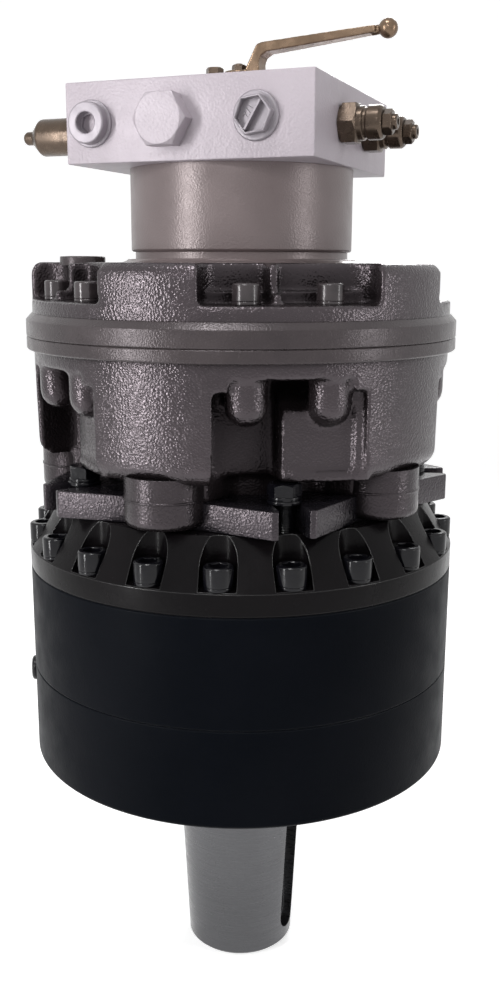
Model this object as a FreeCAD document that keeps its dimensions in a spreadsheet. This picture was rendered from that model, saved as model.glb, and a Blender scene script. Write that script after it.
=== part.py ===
import FreeCAD, Part
import Sketcher
import math
import os

# Hydraulic drive motor: a five-lobed radial piston motor on a planetary gear case,
# with a tapered output shaft below and a turned valve block with a lever on top.
# Lengths are millimetres. The frame's origin is the centre of the gear case's underside,
# +Z runs up the common axis and azimuth 0 is the side that faces -Y.

os.makedirs("parts", exist_ok=True)
doc = FreeCAD.newDocument("HydraulicDriveMotor")
sheet = doc.addObject("Spreadsheet::Sheet", "Sizes")
rows = []
subparts = []


class Size:
    """A number together with the spreadsheet expression that gives it."""

    def __init__(self, number, text):
        self.number = number
        self.text = text

    def __add__(self, other):
        other = as_size(other)
        return Size(self.number + other.number, "(%s + %s)" % (self.text, other.text))

    def __sub__(self, other):
        other = as_size(other)
        return Size(self.number - other.number, "(%s - %s)" % (self.text, other.text))

    def __mul__(self, other):
        other = as_size(other)
        return Size(self.number * other.number, "(%s * %s)" % (self.text, other.text))

    def __truediv__(self, other):
        other = as_size(other)
        return Size(self.number / other.number, "(%s / %s)" % (self.text, other.text))

    def __neg__(self):
        return Size(-self.number, "(0 - %s)" % self.text)

    __radd__ = __add__
    __rmul__ = __mul__

    def __rsub__(self, other):
        return as_size(other) - self


def as_size(item):
    if isinstance(item, Size):
        return item
    return Size(float(item), "%.9g" % item)


def sine(angle):
    angle = as_size(angle)
    return Size(math.sin(math.radians(angle.number)), "sin(%s)" % angle.text)


def cosine(angle):
    angle = as_size(angle)
    return Size(math.cos(math.radians(angle.number)), "cos(%s)" % angle.text)


def size(name, number):
    rows.append(name)
    sheet.set("A%d" % len(rows), name)
    sheet.set("B%d" % len(rows), "%.6g" % number)
    sheet.setAlias("B%d" % len(rows), name)
    return Size(float(number), "Sizes.%s" % name)


# Fits
fit_gap = size("fit_gap", 0.05)
press_gap = size("press_gap", 0.02)
bolt_gap = size("bolt_gap", 0.6)
face_gap = size("face_gap", 0.3)

# Gear case
case_radius = size("case_radius", 145)
lower_case_height = size("lower_case_height", 63.8)
ring_height = size("ring_height", 70)
cover_band = size("cover_band", 14.2)
cone_height = size("cone_height", 30)
cone_inset = size("cone_inset", 19)
seam_groove = size("seam_groove", 0.8)
case_floor = size("case_floor", 4)
cover_screw_inset = size("cover_screw_inset", 9)
cover_screw_count = size("cover_screw_count", 20)
cover_screw_turn = size("cover_screw_turn", -5.5)
cover_screw_radius = size("cover_screw_radius", 6)
cover_screw_head = size("cover_screw_head", 9)
cover_head_height = size("cover_head_height", 12)
cover_screw_reach = size("cover_screw_reach", 22)
cover_socket = size("cover_socket", 5.8)
washer_thick = size("washer_thick", 2.2)
scallop_radius = size("scallop_radius", 11.2)
scallop_floor = size("scallop_floor", 0.8)
frame_bolt_inset = size("frame_bolt_inset", 23)
frame_bolt_radius = size("frame_bolt_radius", 7)
frame_bolt_depth = size("frame_bolt_depth", 30)
frame_bolt_count = size("frame_bolt_count", 12)
side_plug_turn = size("side_plug_turn", -84)
side_plug_height = size("side_plug_height", 53)
side_plug_radius = size("side_plug_radius", 8.5)
side_plug_proud = size("side_plug_proud", 3)

# Output shaft, its seal and its bearings
shaft_length = size("shaft_length", 163)
shaft_end_radius = size("shaft_end_radius", 38)
shaft_taper = size("shaft_taper", 0.05)
taper_top = size("taper_top", 24)
journal_radius = size("journal_radius", 45)
spline_length = size("spline_length", 13)
end_chamfer = size("end_chamfer", 3)
centre_hole_radius = size("centre_hole_radius", 8.5)
centre_hole_depth = size("centre_hole_depth", 42)
key_width = size("key_width", 22)
key_depth = size("key_depth", 9)
key_bottom = size("key_bottom", 11)
key_length = size("key_length", 100)
key_turn = size("key_turn", 66)
pilot_radius = size("pilot_radius", 90)
pilot_shoulder = size("pilot_shoulder", 3)
pilot_height = size("pilot_height", 22)
seal_radius = size("seal_radius", 60)
seal_height = size("seal_height", 12)
cover_lip = size("cover_lip", 5)
seal_screw_circle = size("seal_screw_circle", 81)
seal_screw_radius = size("seal_screw_radius", 3)
seal_screw_count = size("seal_screw_count", 8)
bearing_cover = size("bearing_cover", 2.8)
bearing_outer = size("bearing_outer", 75)
bearing_race = size("bearing_race", 8)
roller_count = size("roller_count", 18)
bearing_spacing = size("bearing_spacing", 5)

# Planetary gears
gear_module = size("gear_module", 4)
sun_teeth = size("sun_teeth", 15)
planet_teeth = size("planet_teeth", 18)
ring_teeth = size("ring_teeth", 51)
backlash = size("backlash", 0.5)
gear_width = size("gear_width", 40)
planet_pin_radius = size("planet_pin_radius", 14)
carrier_radius = size("carrier_radius", 92)
carrier_plate = size("carrier_plate", 11)
carrier_post_radius = size("carrier_post_radius", 11)
carrier_post_circle = size("carrier_post_circle", 76)
carrier_lift = size("carrier_lift", 2)
side_play = size("side_play", 0.4)
sun_shaft_radius = size("sun_shaft_radius", 20)
coupling_radius = size("coupling_radius", 30)
coupling_height = size("coupling_height", 44)
input_bearing_outer = size("input_bearing_outer", 55)
input_bearing_width = size("input_bearing_width", 20)
motor_pilot = size("motor_pilot", 70)
motor_pilot_depth = size("motor_pilot_depth", 8)

# Motor, front housing
lobes = size("lobes", 5)
pocket_turn = size("pocket_turn", 12.7)
foot_thick = size("foot_thick", 17)
foot_apothem = size("foot_apothem", 116)
foot_bolt_circle = size("foot_bolt_circle", 116)
foot_bolt_radius = size("foot_bolt_radius", 6)
foot_bolt_flats = size("foot_bolt_flats", 18)
foot_bolt_head = size("foot_bolt_head", 7.1)
foot_bolt_reach = size("foot_bolt_reach", 20)
foot_slot_half = size("foot_slot_half", 8)
washer_radius = size("washer_radius", 10.4)
lock_washer = size("lock_washer", 2.4)
hub_radius = size("hub_radius", 92)
casting_lift = size("casting_lift", 29)
lobe_low_radius = size("lobe_low_radius", 136.5)
lobe_top_radius = size("lobe_top_radius", 138)
casting_height = size("casting_height", 71.5)
edge_round = size("edge_round", 6)
flange_radius = size("flange_radius", 142.2)
lower_flange = size("lower_flange", 8)
column_circle = size("column_circle", 114)
column_radius = size("column_radius", 25)
column_drop = size("column_drop", 15)
column_web = size("column_web", 34)
channel_floor = size("channel_floor", 100)
channel_half = size("channel_half", 45.5)
channel_roof = size("channel_roof", 9.5)
channel_round = size("channel_round", 7)
panel_face = size("panel_face", 120)
panel_edge = size("panel_edge", 3)
panel_height = size("panel_height", 43)
boss_circle = size("boss_circle", 123)
boss_spread = size("boss_spread", 11.5)
boss_radius = size("boss_radius", 12.5)
boss_drop = size("boss_drop", 46)
piston_level = size("piston_level", 250)
piston_radius = size("piston_radius", 18)
piston_length = size("piston_length", 46)
crank_throw = size("crank_throw", 8)
eccentric_radius = size("eccentric_radius", 40)
eccentric_wall = size("eccentric_wall", 10)
eccentric_height = size("eccentric_height", 32)
crankcase_radius = size("crankcase_radius", 62)
crank_radius = size("crank_radius", 30)
crank_bearing_outer = size("crank_bearing_outer", 54)
crank_bearing_width = size("crank_bearing_width", 22)
crank_top_radius = size("crank_top_radius", 25)
rear_bearing_outer = size("rear_bearing_outer", 45)

# Motor, rear housing
upper_flange = size("upper_flange", 10.5)
flange_chamfer = size("flange_chamfer", 4)
rear_height = size("rear_height", 46.5)
rear_radius = size("rear_radius", 138)
rear_sill = size("rear_sill", 23.5)
rear_pocket_floor = size("rear_pocket_floor", 107)
rear_pocket_half = size("rear_pocket_half", 51)
rear_pocket_flare = size("rear_pocket_flare", 6)
rib_offset = size("rib_offset", 8)
rib_half = size("rib_half", 2.8)
joint_screw_radius = size("joint_screw_radius", 5)
joint_head_radius = size("joint_head_radius", 8)
joint_head_height = size("joint_head_height", 10)
joint_socket = size("joint_socket", 4.6)
joint_washer = size("joint_washer", 2)
joint_screw_depth = size("joint_screw_depth", 30)
drain_circle = size("drain_circle", 105)
drain_turn = size("drain_turn", -76)
drain_radius = size("drain_radius", 14.5)
drain_height = size("drain_height", 4)

# Distributor neck
neck_radius = size("neck_radius", 72.6)
neck_height = size("neck_height", 58.5)
collar_radius = size("collar_radius", 75)
collar_height = size("collar_height", 2.2)
collar_flare = size("collar_flare", 5)
neck_groove_radius = size("neck_groove_radius", 70)
neck_groove_height = size("neck_groove_height", 5.5)
rotor_radius = size("rotor_radius", 40)
rotor_floor = size("rotor_floor", 6)

# Valve block and what is screwed into it
block_turn = size("block_turn", -22.2)
block_left = size("block_left", 84.4)
block_right = size("block_right", 75.6)
block_front = size("block_front", 77.5)
block_back = size("block_back", 77.5)
block_height = size("block_height", 47.5)
valve_level = size("valve_level", 23.1)
socket_plug_place = size("socket_plug_place", -66.5)
hex_plug_place = size("hex_plug_place", -16.5)
port_plug_place = size("port_plug_place", 40.6)
plug_thread = size("plug_thread", 10.4)
plug_collar = size("plug_collar", 13.9)
plug_collar_height = size("plug_collar_height", 8.2)
plug_head = size("plug_head", 12.2)
plug_rim = size("plug_rim", 2)
plug_reach = size("plug_reach", 16)
plug_socket = size("plug_socket", 6.4)
hex_thread = size("hex_thread", 13.1)
hex_flats = size("hex_flats", 29.5)
hex_head_height = size("hex_head_height", 12)
port_flange = size("port_flange", 14)
port_flats = size("port_flats", 20.5)
port_cup_height = size("port_cup_height", 8)
cup_wall = size("cup_wall", 1.2)
cup_depth = size("cup_depth", 5)
cartridge_place = size("cartridge_place", 25.5)
cartridge_flats = size("cartridge_flats", 22.5)
cartridge_hex_height = size("cartridge_hex_height", 11)
cartridge_body = size("cartridge_body", 10)
cartridge_body_height = size("cartridge_body_height", 15)
adjuster_flats = size("adjuster_flats", 13)
adjuster_height = size("adjuster_height", 8)
cartridge_thread = size("cartridge_thread", 10)
cartridge_reach = size("cartridge_reach", 34)
left_flats = size("left_flats", 27)
left_hex_height = size("left_hex_height", 16)
left_body = size("left_body", 12)
left_body_height = size("left_body_height", 41)
left_taper = size("left_taper", 7)
left_adjuster_radius = size("left_adjuster_radius", 4.4)
left_adjuster_height = size("left_adjuster_height", 7)
block_bolt_along = size("block_bolt_along", 22)
block_bolt_across = size("block_bolt_across", 53)
block_bolt_radius = size("block_bolt_radius", 5)
block_bolt_head = size("block_bolt_head", 8)
block_bolt_sink = size("block_bolt_sink", 11)
block_bolt_reach = size("block_bolt_reach", 14)
top_bolt_along = size("top_bolt_along", 2)
top_bolt_across = size("top_bolt_across", 48)
top_bolt_flats = size("top_bolt_flats", 9.4)
top_bolt_head = size("top_bolt_head", 8)
main_port_radius = size("main_port_radius", 12)
main_port_depth = size("main_port_depth", 16)
main_port_spread = size("main_port_spread", 26)

# Lever valve
spindle_along = size("spindle_along", 5)
spindle_across = size("spindle_across", 17)
spindle_radius = size("spindle_radius", 6)
ball_radius = size("ball_radius", 12)
gland_radius = size("gland_radius", 14)
gland_height = size("gland_height", 9)
gland_proud = size("gland_proud", 2)
lever_lift = size("lever_lift", 5.5)
lever_hub_radius = size("lever_hub_radius", 10)
lever_hub_height = size("lever_hub_height", 6)
lever_reach = size("lever_reach", 95)
lever_rise = size("lever_rise", 29.3)
lever_bend = size("lever_bend", 15)
lever_bend_rise = size("lever_bend_rise", 25)
lever_thick = size("lever_thick", 5.6)
lever_width = size("lever_width", 13)
lever_tip_width = size("lever_tip_width", 8)
knob_radius = size("knob_radius", 5.8)
lever_nut_flats = size("lever_nut_flats", 8)
lever_nut_height = size("lever_nut_height", 5)

doc.recompute()

# Circles and widths that follow the case
cone_top_radius = case_radius - cone_inset
cover_screw_circle = case_radius - cover_screw_inset
frame_bolt_circle = case_radius - frame_bolt_inset
bearing_width = (lower_case_height - case_floor - bearing_spacing - bearing_cover) / 2

# Levels along the axis
ring_floor = lower_case_height
ring_top = ring_floor + ring_height
band_top = ring_top + cover_band
cover_top = band_top + cone_height
foot_top = cover_top + foot_thick
casting_floor = cover_top + casting_lift
casting_top = casting_floor + casting_height
joint_level = casting_top + lower_flange
rear_top = joint_level + rear_height
block_floor = rear_top + neck_height
block_top = block_floor + block_height
valve_height = block_floor + valve_level
sill_level = joint_level + rear_sill
tooth_floor = ring_floor + carrier_lift + carrier_plate + side_play
tooth_top = tooth_floor + gear_width


def bind(item, **sizes):
    for name, amount in sizes.items():
        item.setExpression(name, as_size(amount).text)


def new_body(label, several=False):
    body = doc.addObject("PartDesign::Body", label + "_body")
    body.Label = label
    body.AllowCompound = several
    subparts.append(body)
    return body


def origin_item(body, role):
    for item in body.Origin.OriginFeatures:
        if item.Role == role:
            return item


def new_sketch(body, role="XY_Plane", level=0, turn=0):
    sketch = body.newObject("Sketcher::SketchObject", body.Label + "_sketch")
    sketch.AttachmentSupport = [(origin_item(body, role), "")]
    sketch.MapMode = "FlatFace"
    spin = as_size(turn)
    around = FreeCAD.Rotation(FreeCAD.Vector(0, 0, 1), spin.number)
    sketch.AttachmentOffset = FreeCAD.Placement(FreeCAD.Vector(0, 0, 0), around)
    sketch.setExpression("AttachmentOffset.Base.z", as_size(level).text)
    if spin.number:
        sketch.setExpression("AttachmentOffset.Rotation.Angle", spin.text)
    return sketch


def side_sketch(body, level, turn):
    """A sketch that faces outward at an angle counted from +X, its Y axis along +Z."""
    sketch = new_sketch(body, "YZ_Plane")
    level, turn = as_size(level), as_size(turn)
    place = FreeCAD.Vector(level.number * sine(turn).number, 0, level.number * cosine(turn).number)
    around = FreeCAD.Rotation(FreeCAD.Vector(0, 1, 0), turn.number)
    sketch.AttachmentOffset = FreeCAD.Placement(place, around)
    sketch.setExpression("AttachmentOffset.Base.x", (level * sine(turn)).text)
    sketch.setExpression("AttachmentOffset.Base.z", (level * cosine(turn)).text)
    sketch.setExpression("AttachmentOffset.Rotation.Angle", turn.text)
    return sketch


def pin_point(sketch, edge, end, across, along):
    for kind, amount, axis in (("DistanceX", across, -2), ("DistanceY", along, -1)):
        amount = as_size(amount)
        if amount.text == "0":
            sketch.addConstraint(Sketcher.Constraint("PointOnObject", edge, end, axis))
        else:
            made = sketch.addConstraint(Sketcher.Constraint(kind, -1, 1, edge, end, amount.number))
            sketch.setExpression("Constraints[%d]" % made, amount.text)


def draw_outline(sketch, points):
    first = sketch.GeometryCount
    points = [(as_size(a), as_size(b)) for a, b in points]
    count = len(points)
    for i in range(count):
        a, b = points[i]
        c, d = points[(i + 1) % count]
        start = FreeCAD.Vector(a.number, b.number, 0)
        end = FreeCAD.Vector(c.number, d.number, 0)
        sketch.addGeometry(Part.LineSegment(start, end), False)
    for i in range(count):
        join = ("Coincident", first + i, 2, first + (i + 1) % count, 1)
        sketch.addConstraint(Sketcher.Constraint(*join))
        pin_point(sketch, first + i, 1, points[i][0], points[i][1])


def draw_circle(sketch, across, along, radius):
    across, along, radius = as_size(across), as_size(along), as_size(radius)
    centre = FreeCAD.Vector(across.number, along.number, 0)
    made = sketch.addGeometry(Part.Circle(centre, FreeCAD.Vector(0, 0, 1), radius.number), False)
    pin_point(sketch, made, 3, across, along)
    held = sketch.addConstraint(Sketcher.Constraint("Radius", made, radius.number))
    sketch.setExpression("Constraints[%d]" % held, radius.text)


def draw_hexagon(sketch, across, along, flats, turn=0):
    corner = as_size(flats) / 2 / cosine(30)
    points = []
    for k in range(6):
        angle = 60 * k + turn
        points.append((across + corner * math.cos(math.radians(angle)),
                       along + corner * math.sin(math.radians(angle))))
    draw_outline(sketch, points)


def draw_u_slot(sketch, centre, half, outer):
    """A slot along the sketch's X axis, round inside and open outside."""
    c, w, o = centre.number, half.number, outer.number
    low = sketch.addGeometry(Part.LineSegment(FreeCAD.Vector(c, -w, 0), FreeCAD.Vector(o, -w, 0)), False)
    end = sketch.addGeometry(Part.LineSegment(FreeCAD.Vector(o, -w, 0), FreeCAD.Vector(o, w, 0)), False)
    top = sketch.addGeometry(Part.LineSegment(FreeCAD.Vector(o, w, 0), FreeCAD.Vector(c, w, 0)), False)
    ring = Part.Circle(FreeCAD.Vector(c, 0, 0), FreeCAD.Vector(0, 0, 1), w)
    arc = sketch.addGeometry(Part.ArcOfCircle(ring, math.pi / 2, 3 * math.pi / 2), False)
    sketch.addConstraint(Sketcher.Constraint("Coincident", low, 2, end, 1))
    sketch.addConstraint(Sketcher.Constraint("Coincident", end, 2, top, 1))
    sketch.addConstraint(Sketcher.Constraint("Tangent", top, 2, arc, 1))
    sketch.addConstraint(Sketcher.Constraint("Tangent", arc, 2, low, 1))
    sketch.addConstraint(Sketcher.Constraint("Horizontal", low))
    sketch.addConstraint(Sketcher.Constraint("Vertical", end))
    pin_point(sketch, arc, 3, centre, 0)
    pin_point(sketch, end, 1, outer, -half)


def revolve(body, points, cut=False, axis_at=None):
    """Turn an outline of (radius, height) points round Z, or round its own upright axis."""
    sketch = new_sketch(body, "XZ_Plane")
    draw_outline(sketch, points)
    kind = "PartDesign::Groove" if cut else "PartDesign::Revolution"
    feature = body.newObject(kind, body.Label + ("_groove" if cut else "_turned"))
    feature.Profile = sketch
    feature.ReferenceAxis = (sketch, ["V_Axis"])
    if axis_at is not None:
        axis_at = as_size(axis_at)
        foot = FreeCAD.Vector(axis_at.number, 0, 0)
        head = FreeCAD.Vector(axis_at.number, 100, 0)
        line = sketch.addGeometry(Part.LineSegment(foot, head), True)
        pin_point(sketch, line, 1, axis_at, 0)
        pin_point(sketch, line, 2, axis_at, 100)
        feature.ReferenceAxis = (sketch, ["Axis0"])
    feature.Angle = 360
    return feature


def pad(body, sketch, height):
    feature = body.newObject("PartDesign::Pad", body.Label + "_pad")
    feature.Profile = sketch
    bind(feature, Length=height)
    return feature


def pocket(body, sketch, depth, upward=False):
    feature = body.newObject("PartDesign::Pocket", body.Label + "_cut")
    feature.Profile = sketch
    feature.Reversed = upward
    bind(feature, Length=depth)
    return feature


def repeat(body, features, count):
    feature = body.newObject("PartDesign::PolarPattern", body.Label + "_pattern")
    feature.Originals = features
    feature.Axis = (origin_item(body, "Z_Axis"), [""])
    feature.Angle = 360
    feature.setExpression("Occurrences", as_size(count).text)
    body.Tip = feature
    return feature


def turn_to(body, azimuth):
    """Turn a body made along +X to an azimuth that is counted from -Y towards +X."""
    angle = as_size(azimuth) - 90
    body.Placement = FreeCAD.Placement(FreeCAD.Vector(0, 0, 0),
                                       FreeCAD.Rotation(FreeCAD.Vector(0, 0, 1), angle.number))
    body.setExpression("Placement.Rotation.Angle", angle.text)


def soften(body, base, amount, test, chamfer=False):
    """Round or chamfer the edges of a feature that pass a test."""
    doc.recompute()
    names = []
    for i, edge in enumerate(base.Shape.Edges):
        if test(edge):
            names.append("Edge%d" % (i + 1))
    kind = "PartDesign::Chamfer" if chamfer else "PartDesign::Fillet"
    feature = body.newObject(kind, body.Label + "_edge")
    feature.Base = (base, names)
    if chamfer:
        bind(feature, Size=amount)
    else:
        bind(feature, Radius=amount)
    return feature


def ring_body(label, inner, outer, floor, height):
    body = new_body(label)
    floor = as_size(floor)
    top = floor + height
    revolve(body, [(inner, floor), (outer, floor), (outer, top), (inner, top)])
    return body


def on_block(along, across):
    """A point given in the block's own directions, moved to the shared frame."""
    x = along * cosine(block_turn) + across * sine(block_turn)
    y = along * sine(block_turn) - across * cosine(block_turn)
    return x, y


def seat(body, along, across, level, tilt):
    """Stand a body that was made along +Z on a face of the block."""
    x, y = on_block(as_size(along), as_size(across))
    level = as_size(level)
    turn = FreeCAD.Rotation(FreeCAD.Vector(0, 0, 1), block_turn.number)
    body.Placement = FreeCAD.Placement(FreeCAD.Vector(x.number, y.number, level.number), turn.multiply(tilt))
    body.setExpression("Placement.Base.x", x.text)
    body.setExpression("Placement.Base.y", y.text)
    body.setExpression("Placement.Base.z", level.text)


UPRIGHT = FreeCAD.Rotation()
TO_FRONT = FreeCAD.Rotation(FreeCAD.Vector(1, 0, 0), 90)
TO_RIGHT = FreeCAD.Rotation(FreeCAD.Vector(0, 1, 0), 90)
TO_LEFT = FreeCAD.Rotation(FreeCAD.Vector(0, 1, 0), -90)


# Output shaft: a 1 in 10 taper with a keyway, a seal and bearing journal, and a spline end
shaft_top = ring_floor + carrier_lift + spline_length - 2
taper_base_radius = shaft_end_radius + (shaft_length - taper_top) * shaft_taper
shaft = new_body("output_shaft")
revolve(shaft, [
    (0, -shaft_length),
    (shaft_end_radius - end_chamfer, -shaft_length),
    (shaft_end_radius + end_chamfer * shaft_taper, -shaft_length + end_chamfer),
    (taper_base_radius, -taper_top),
    (journal_radius, -taper_top),
    (journal_radius, shaft_top),
    (0, shaft_top),
])
key_sketch = new_sketch(shaft, "YZ_Plane", taper_base_radius + 10)
key_low = -shaft_length + key_bottom + key_width / 2
key_high = key_low + key_length - key_width
half_key = key_width / 2
left = key_sketch.addGeometry(Part.LineSegment(
    FreeCAD.Vector(-half_key.number, key_high.number, 0), FreeCAD.Vector(-half_key.number, key_low.number, 0)), False)
bottom = key_sketch.addGeometry(Part.ArcOfCircle(Part.Circle(
    FreeCAD.Vector(0, key_low.number, 0), FreeCAD.Vector(0, 0, 1), half_key.number), math.pi, 2 * math.pi), False)
right = key_sketch.addGeometry(Part.LineSegment(
    FreeCAD.Vector(half_key.number, key_low.number, 0), FreeCAD.Vector(half_key.number, key_high.number, 0)), False)
roof = key_sketch.addGeometry(Part.ArcOfCircle(Part.Circle(
    FreeCAD.Vector(0, key_high.number, 0), FreeCAD.Vector(0, 0, 1), half_key.number), 0, math.pi), False)
key_sketch.addConstraint(Sketcher.Constraint("Tangent", left, 2, bottom, 1))
key_sketch.addConstraint(Sketcher.Constraint("Tangent", bottom, 2, right, 1))
key_sketch.addConstraint(Sketcher.Constraint("Tangent", right, 2, roof, 1))
key_sketch.addConstraint(Sketcher.Constraint("Tangent", roof, 2, left, 1))
pin_point(key_sketch, bottom, 3, 0, key_low)
pin_point(key_sketch, roof, 3, 0, key_high)
pin_point(key_sketch, right, 1, half_key, key_low)
pocket(shaft, key_sketch, taper_base_radius + 10 - shaft_end_radius + key_depth - 2)
centre_sketch = new_sketch(shaft, "XY_Plane", -shaft_length)
draw_circle(centre_sketch, 0, 0, centre_hole_radius)
pocket(shaft, centre_sketch, centre_hole_depth, upward=True)
turn_to(shaft, key_turn)

# Seal cover with the pilot spigot that centres the drive in its frame
cover_floor = -pilot_height
bearing_floor = case_floor
seal_cover = new_body("seal_cover")
revolve(seal_cover, [
    (journal_radius + 1, cover_floor),
    (pilot_radius - 2, cover_floor),
    (pilot_radius, cover_floor + 2),
    (pilot_radius, 0),
    (pilot_radius + pilot_shoulder, 0),
    (pilot_radius + pilot_shoulder, bearing_floor),
    (bearing_outer - bearing_race, bearing_floor),
    (bearing_outer - bearing_race, cover_floor + cover_lip + seal_height),
    (seal_radius, cover_floor + cover_lip + seal_height),
    (seal_radius, cover_floor + cover_lip),
    (journal_radius + 1, cover_floor + cover_lip),
])
seal_holes = new_sketch(seal_cover, "XY_Plane", cover_floor)
draw_circle(seal_holes, seal_screw_circle, 0, seal_screw_radius + bolt_gap / 2)
through = pocket(seal_cover, seal_holes, pilot_height + bearing_floor, upward=True)
sink_sketch = new_sketch(seal_cover, "XY_Plane", cover_floor)
draw_circle(sink_sketch, seal_screw_circle, 0, seal_screw_radius * 1.7 + bolt_gap / 2)
sink = pocket(seal_cover, sink_sketch, seal_screw_radius * 2 + 1, upward=True)
repeat(seal_cover, [through, sink], seal_screw_count)
ring_body("shaft_seal", journal_radius + fit_gap, seal_radius - fit_gap, cover_floor + cover_lip, seal_height)

seal_screws = new_body("seal_cover_screws", several=True)
head_seat = cover_floor + seal_screw_radius * 2 + 1
one = revolve(seal_screws, [
    (seal_screw_circle, head_seat - seal_screw_radius * 2),
    (seal_screw_circle + seal_screw_radius * 1.6, head_seat - seal_screw_radius * 2),
    (seal_screw_circle + seal_screw_radius * 1.6, head_seat),
    (seal_screw_circle + seal_screw_radius, head_seat),
    (seal_screw_circle + seal_screw_radius, bearing_floor + seal_screw_radius * 3),
    (seal_screw_circle, bearing_floor + seal_screw_radius * 3),
], axis_at=seal_screw_circle)
repeat(seal_screws, [one], seal_screw_count)

# Two roller bearings in the lower case
upper_bearing_floor = bearing_floor + bearing_width + bearing_spacing
for label, floor in (("lower_bearing", bearing_floor), ("upper_bearing", upper_bearing_floor)):
    inner_race = journal_radius + fit_gap + bearing_race
    outer_race = bearing_outer - bearing_race
    ring_body(label + "_outer", outer_race, bearing_outer - fit_gap, floor, bearing_width)
    ring_body(label + "_inner", journal_radius + press_gap, inner_race, floor, bearing_width)
    rollers = new_body(label + "_rollers", several=True)
    roller_sketch = new_sketch(rollers, "XY_Plane", floor + 2)
    draw_circle(roller_sketch, (inner_race + outer_race) / 2, 0, (outer_race - inner_race) / 2 - fit_gap)
    roller = pad(rollers, roller_sketch, bearing_width - 4)
    repeat(rollers, [roller], roller_count)

# Lower case: a bearing housing with a ring of tapped frame holes in its underside
upper_bearing_top = upper_bearing_floor + bearing_width
lower_case = new_body("lower_case")
revolve(lower_case, [
    (bearing_outer, bearing_floor),
    (pilot_radius + pilot_shoulder + fit_gap * 2, bearing_floor),
    (pilot_radius + pilot_shoulder + fit_gap * 2, 0),
    (case_radius - 2, 0),
    (case_radius, 2),
    (case_radius, lower_case_height - seam_groove),
    (case_radius - seam_groove, lower_case_height),
    (journal_radius + bearing_race + 3, lower_case_height),
    (journal_radius + bearing_race + 3, upper_bearing_top),
    (bearing_outer, upper_bearing_top),
    (bearing_outer, upper_bearing_floor),
    (bearing_outer - 4, upper_bearing_floor),
    (bearing_outer - 4, bearing_floor + bearing_width),
    (bearing_outer, bearing_floor + bearing_width),
])
frame_sketch = new_sketch(lower_case, "XY_Plane", 0, 15)
draw_circle(frame_sketch, frame_bolt_circle, 0, frame_bolt_radius)
frame_hole = pocket(lower_case, frame_sketch, frame_bolt_depth, upward=True)
repeat(lower_case, [frame_hole], frame_bolt_count)
tap_sketch = new_sketch(lower_case, "XY_Plane", lower_case_height, cover_screw_turn)
draw_circle(tap_sketch, cover_screw_circle, 0, cover_screw_radius + fit_gap)
tapped = pocket(lower_case, tap_sketch, cover_screw_reach + 3)
repeat(lower_case, [tapped], cover_screw_count)
seal_tap_sketch = new_sketch(lower_case, "XY_Plane", bearing_floor)
draw_circle(seal_tap_sketch, seal_screw_circle, 0, seal_screw_radius + fit_gap)
seal_tap = pocket(lower_case, seal_tap_sketch, seal_screw_radius * 3 + 2, upward=True)
repeat(lower_case, [seal_tap], seal_screw_count)
plug_hole_sketch = side_sketch(lower_case, case_radius, side_plug_turn - 90)
draw_circle(plug_hole_sketch, 0, side_plug_height, side_plug_radius * 0.7 + fit_gap)
pocket(lower_case, plug_hole_sketch, 18)

# Small plug in the side of the lower case
side_plug = new_body("side_plug")
plug_seat = case_radius + side_plug_proud
revolve(side_plug, [
    (0, 0),
    (side_plug_radius - 1, 0),
    (side_plug_radius, -1),
    (side_plug_radius, -side_plug_proud + 0.3),
    (side_plug_radius * 0.7, -side_plug_proud + 0.3),
    (side_plug_radius * 0.7, -side_plug_proud - 14),
    (0, -side_plug_proud - 14),
])
plug_socket_sketch = new_sketch(side_plug, "XY_Plane", 0)
draw_hexagon(plug_socket_sketch, 0, 0, side_plug_radius * 0.8)
pocket(side_plug, plug_socket_sketch, side_plug_proud + 2)
plug_x = plug_seat * sine(side_plug_turn)
plug_y = -plug_seat * cosine(side_plug_turn)
plug_facing = FreeCAD.Rotation(FreeCAD.Vector(0, 0, 1), side_plug_turn.number - 90)
side_plug.Placement = FreeCAD.Placement(
    FreeCAD.Vector(plug_x.number, plug_y.number, side_plug_height.number), plug_facing.multiply(TO_RIGHT))
bind(side_plug, **{"Placement.Base.x": plug_x, "Placement.Base.y": plug_y, "Placement.Base.z": side_plug_height})


# Gears: involute flanks from the module and the tooth counts
def flank_angle(teeth, radius, extra):
    """Half the angle that a tooth fills at a radius."""
    pitch = gear_module.number * teeth / 2
    base = pitch * math.cos(math.radians(20))
    held = math.pi / 2 / teeth - extra / 2 / pitch
    slope = math.acos(min(1.0, base / pitch))
    local = math.acos(min(1.0, base / max(radius, base)))
    return held + (math.tan(slope) - slope) - (math.tan(local) - local)


def gear_wire(teeth, root, tip, extra, level):
    """Closed wire of a toothed wheel with a tooth centred on +X."""
    pitch = gear_module.number * teeth / 2
    radii = [root, pitch - 0.35 * (pitch - root), pitch + 0.45 * (tip - pitch), tip]
    points = []
    for k in range(teeth):
        middle = 2 * math.pi * k / teeth
        for side in (-1, 1):
            for radius in (radii if side < 0 else reversed(radii)):
                angle = middle + side * flank_angle(teeth, radius, extra)
                points.append(FreeCAD.Vector(radius * math.cos(angle), radius * math.sin(angle), level))
    points.append(points[0])
    return Part.makePolygon(points)


def plain_feature(label, shape, place=None):
    item = doc.addObject("Part::Feature", label + "_solid")
    item.Label = label
    item.Shape = shape
    if place is not None:
        item.Placement = place
    subparts.append(item)
    return item


module = gear_module.number
n_sun = int(round(sun_teeth.number))
n_planet = int(round(planet_teeth.number))
n_ring = int(round(ring_teeth.number))
half_backlash = backlash.number / 2
planet_circle = module * (n_sun + n_planet) / 2
addendum = 0.9 * module
dedendum = 1.25 * module
tooth_level = tooth_floor.number
width = gear_width.number

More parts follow.
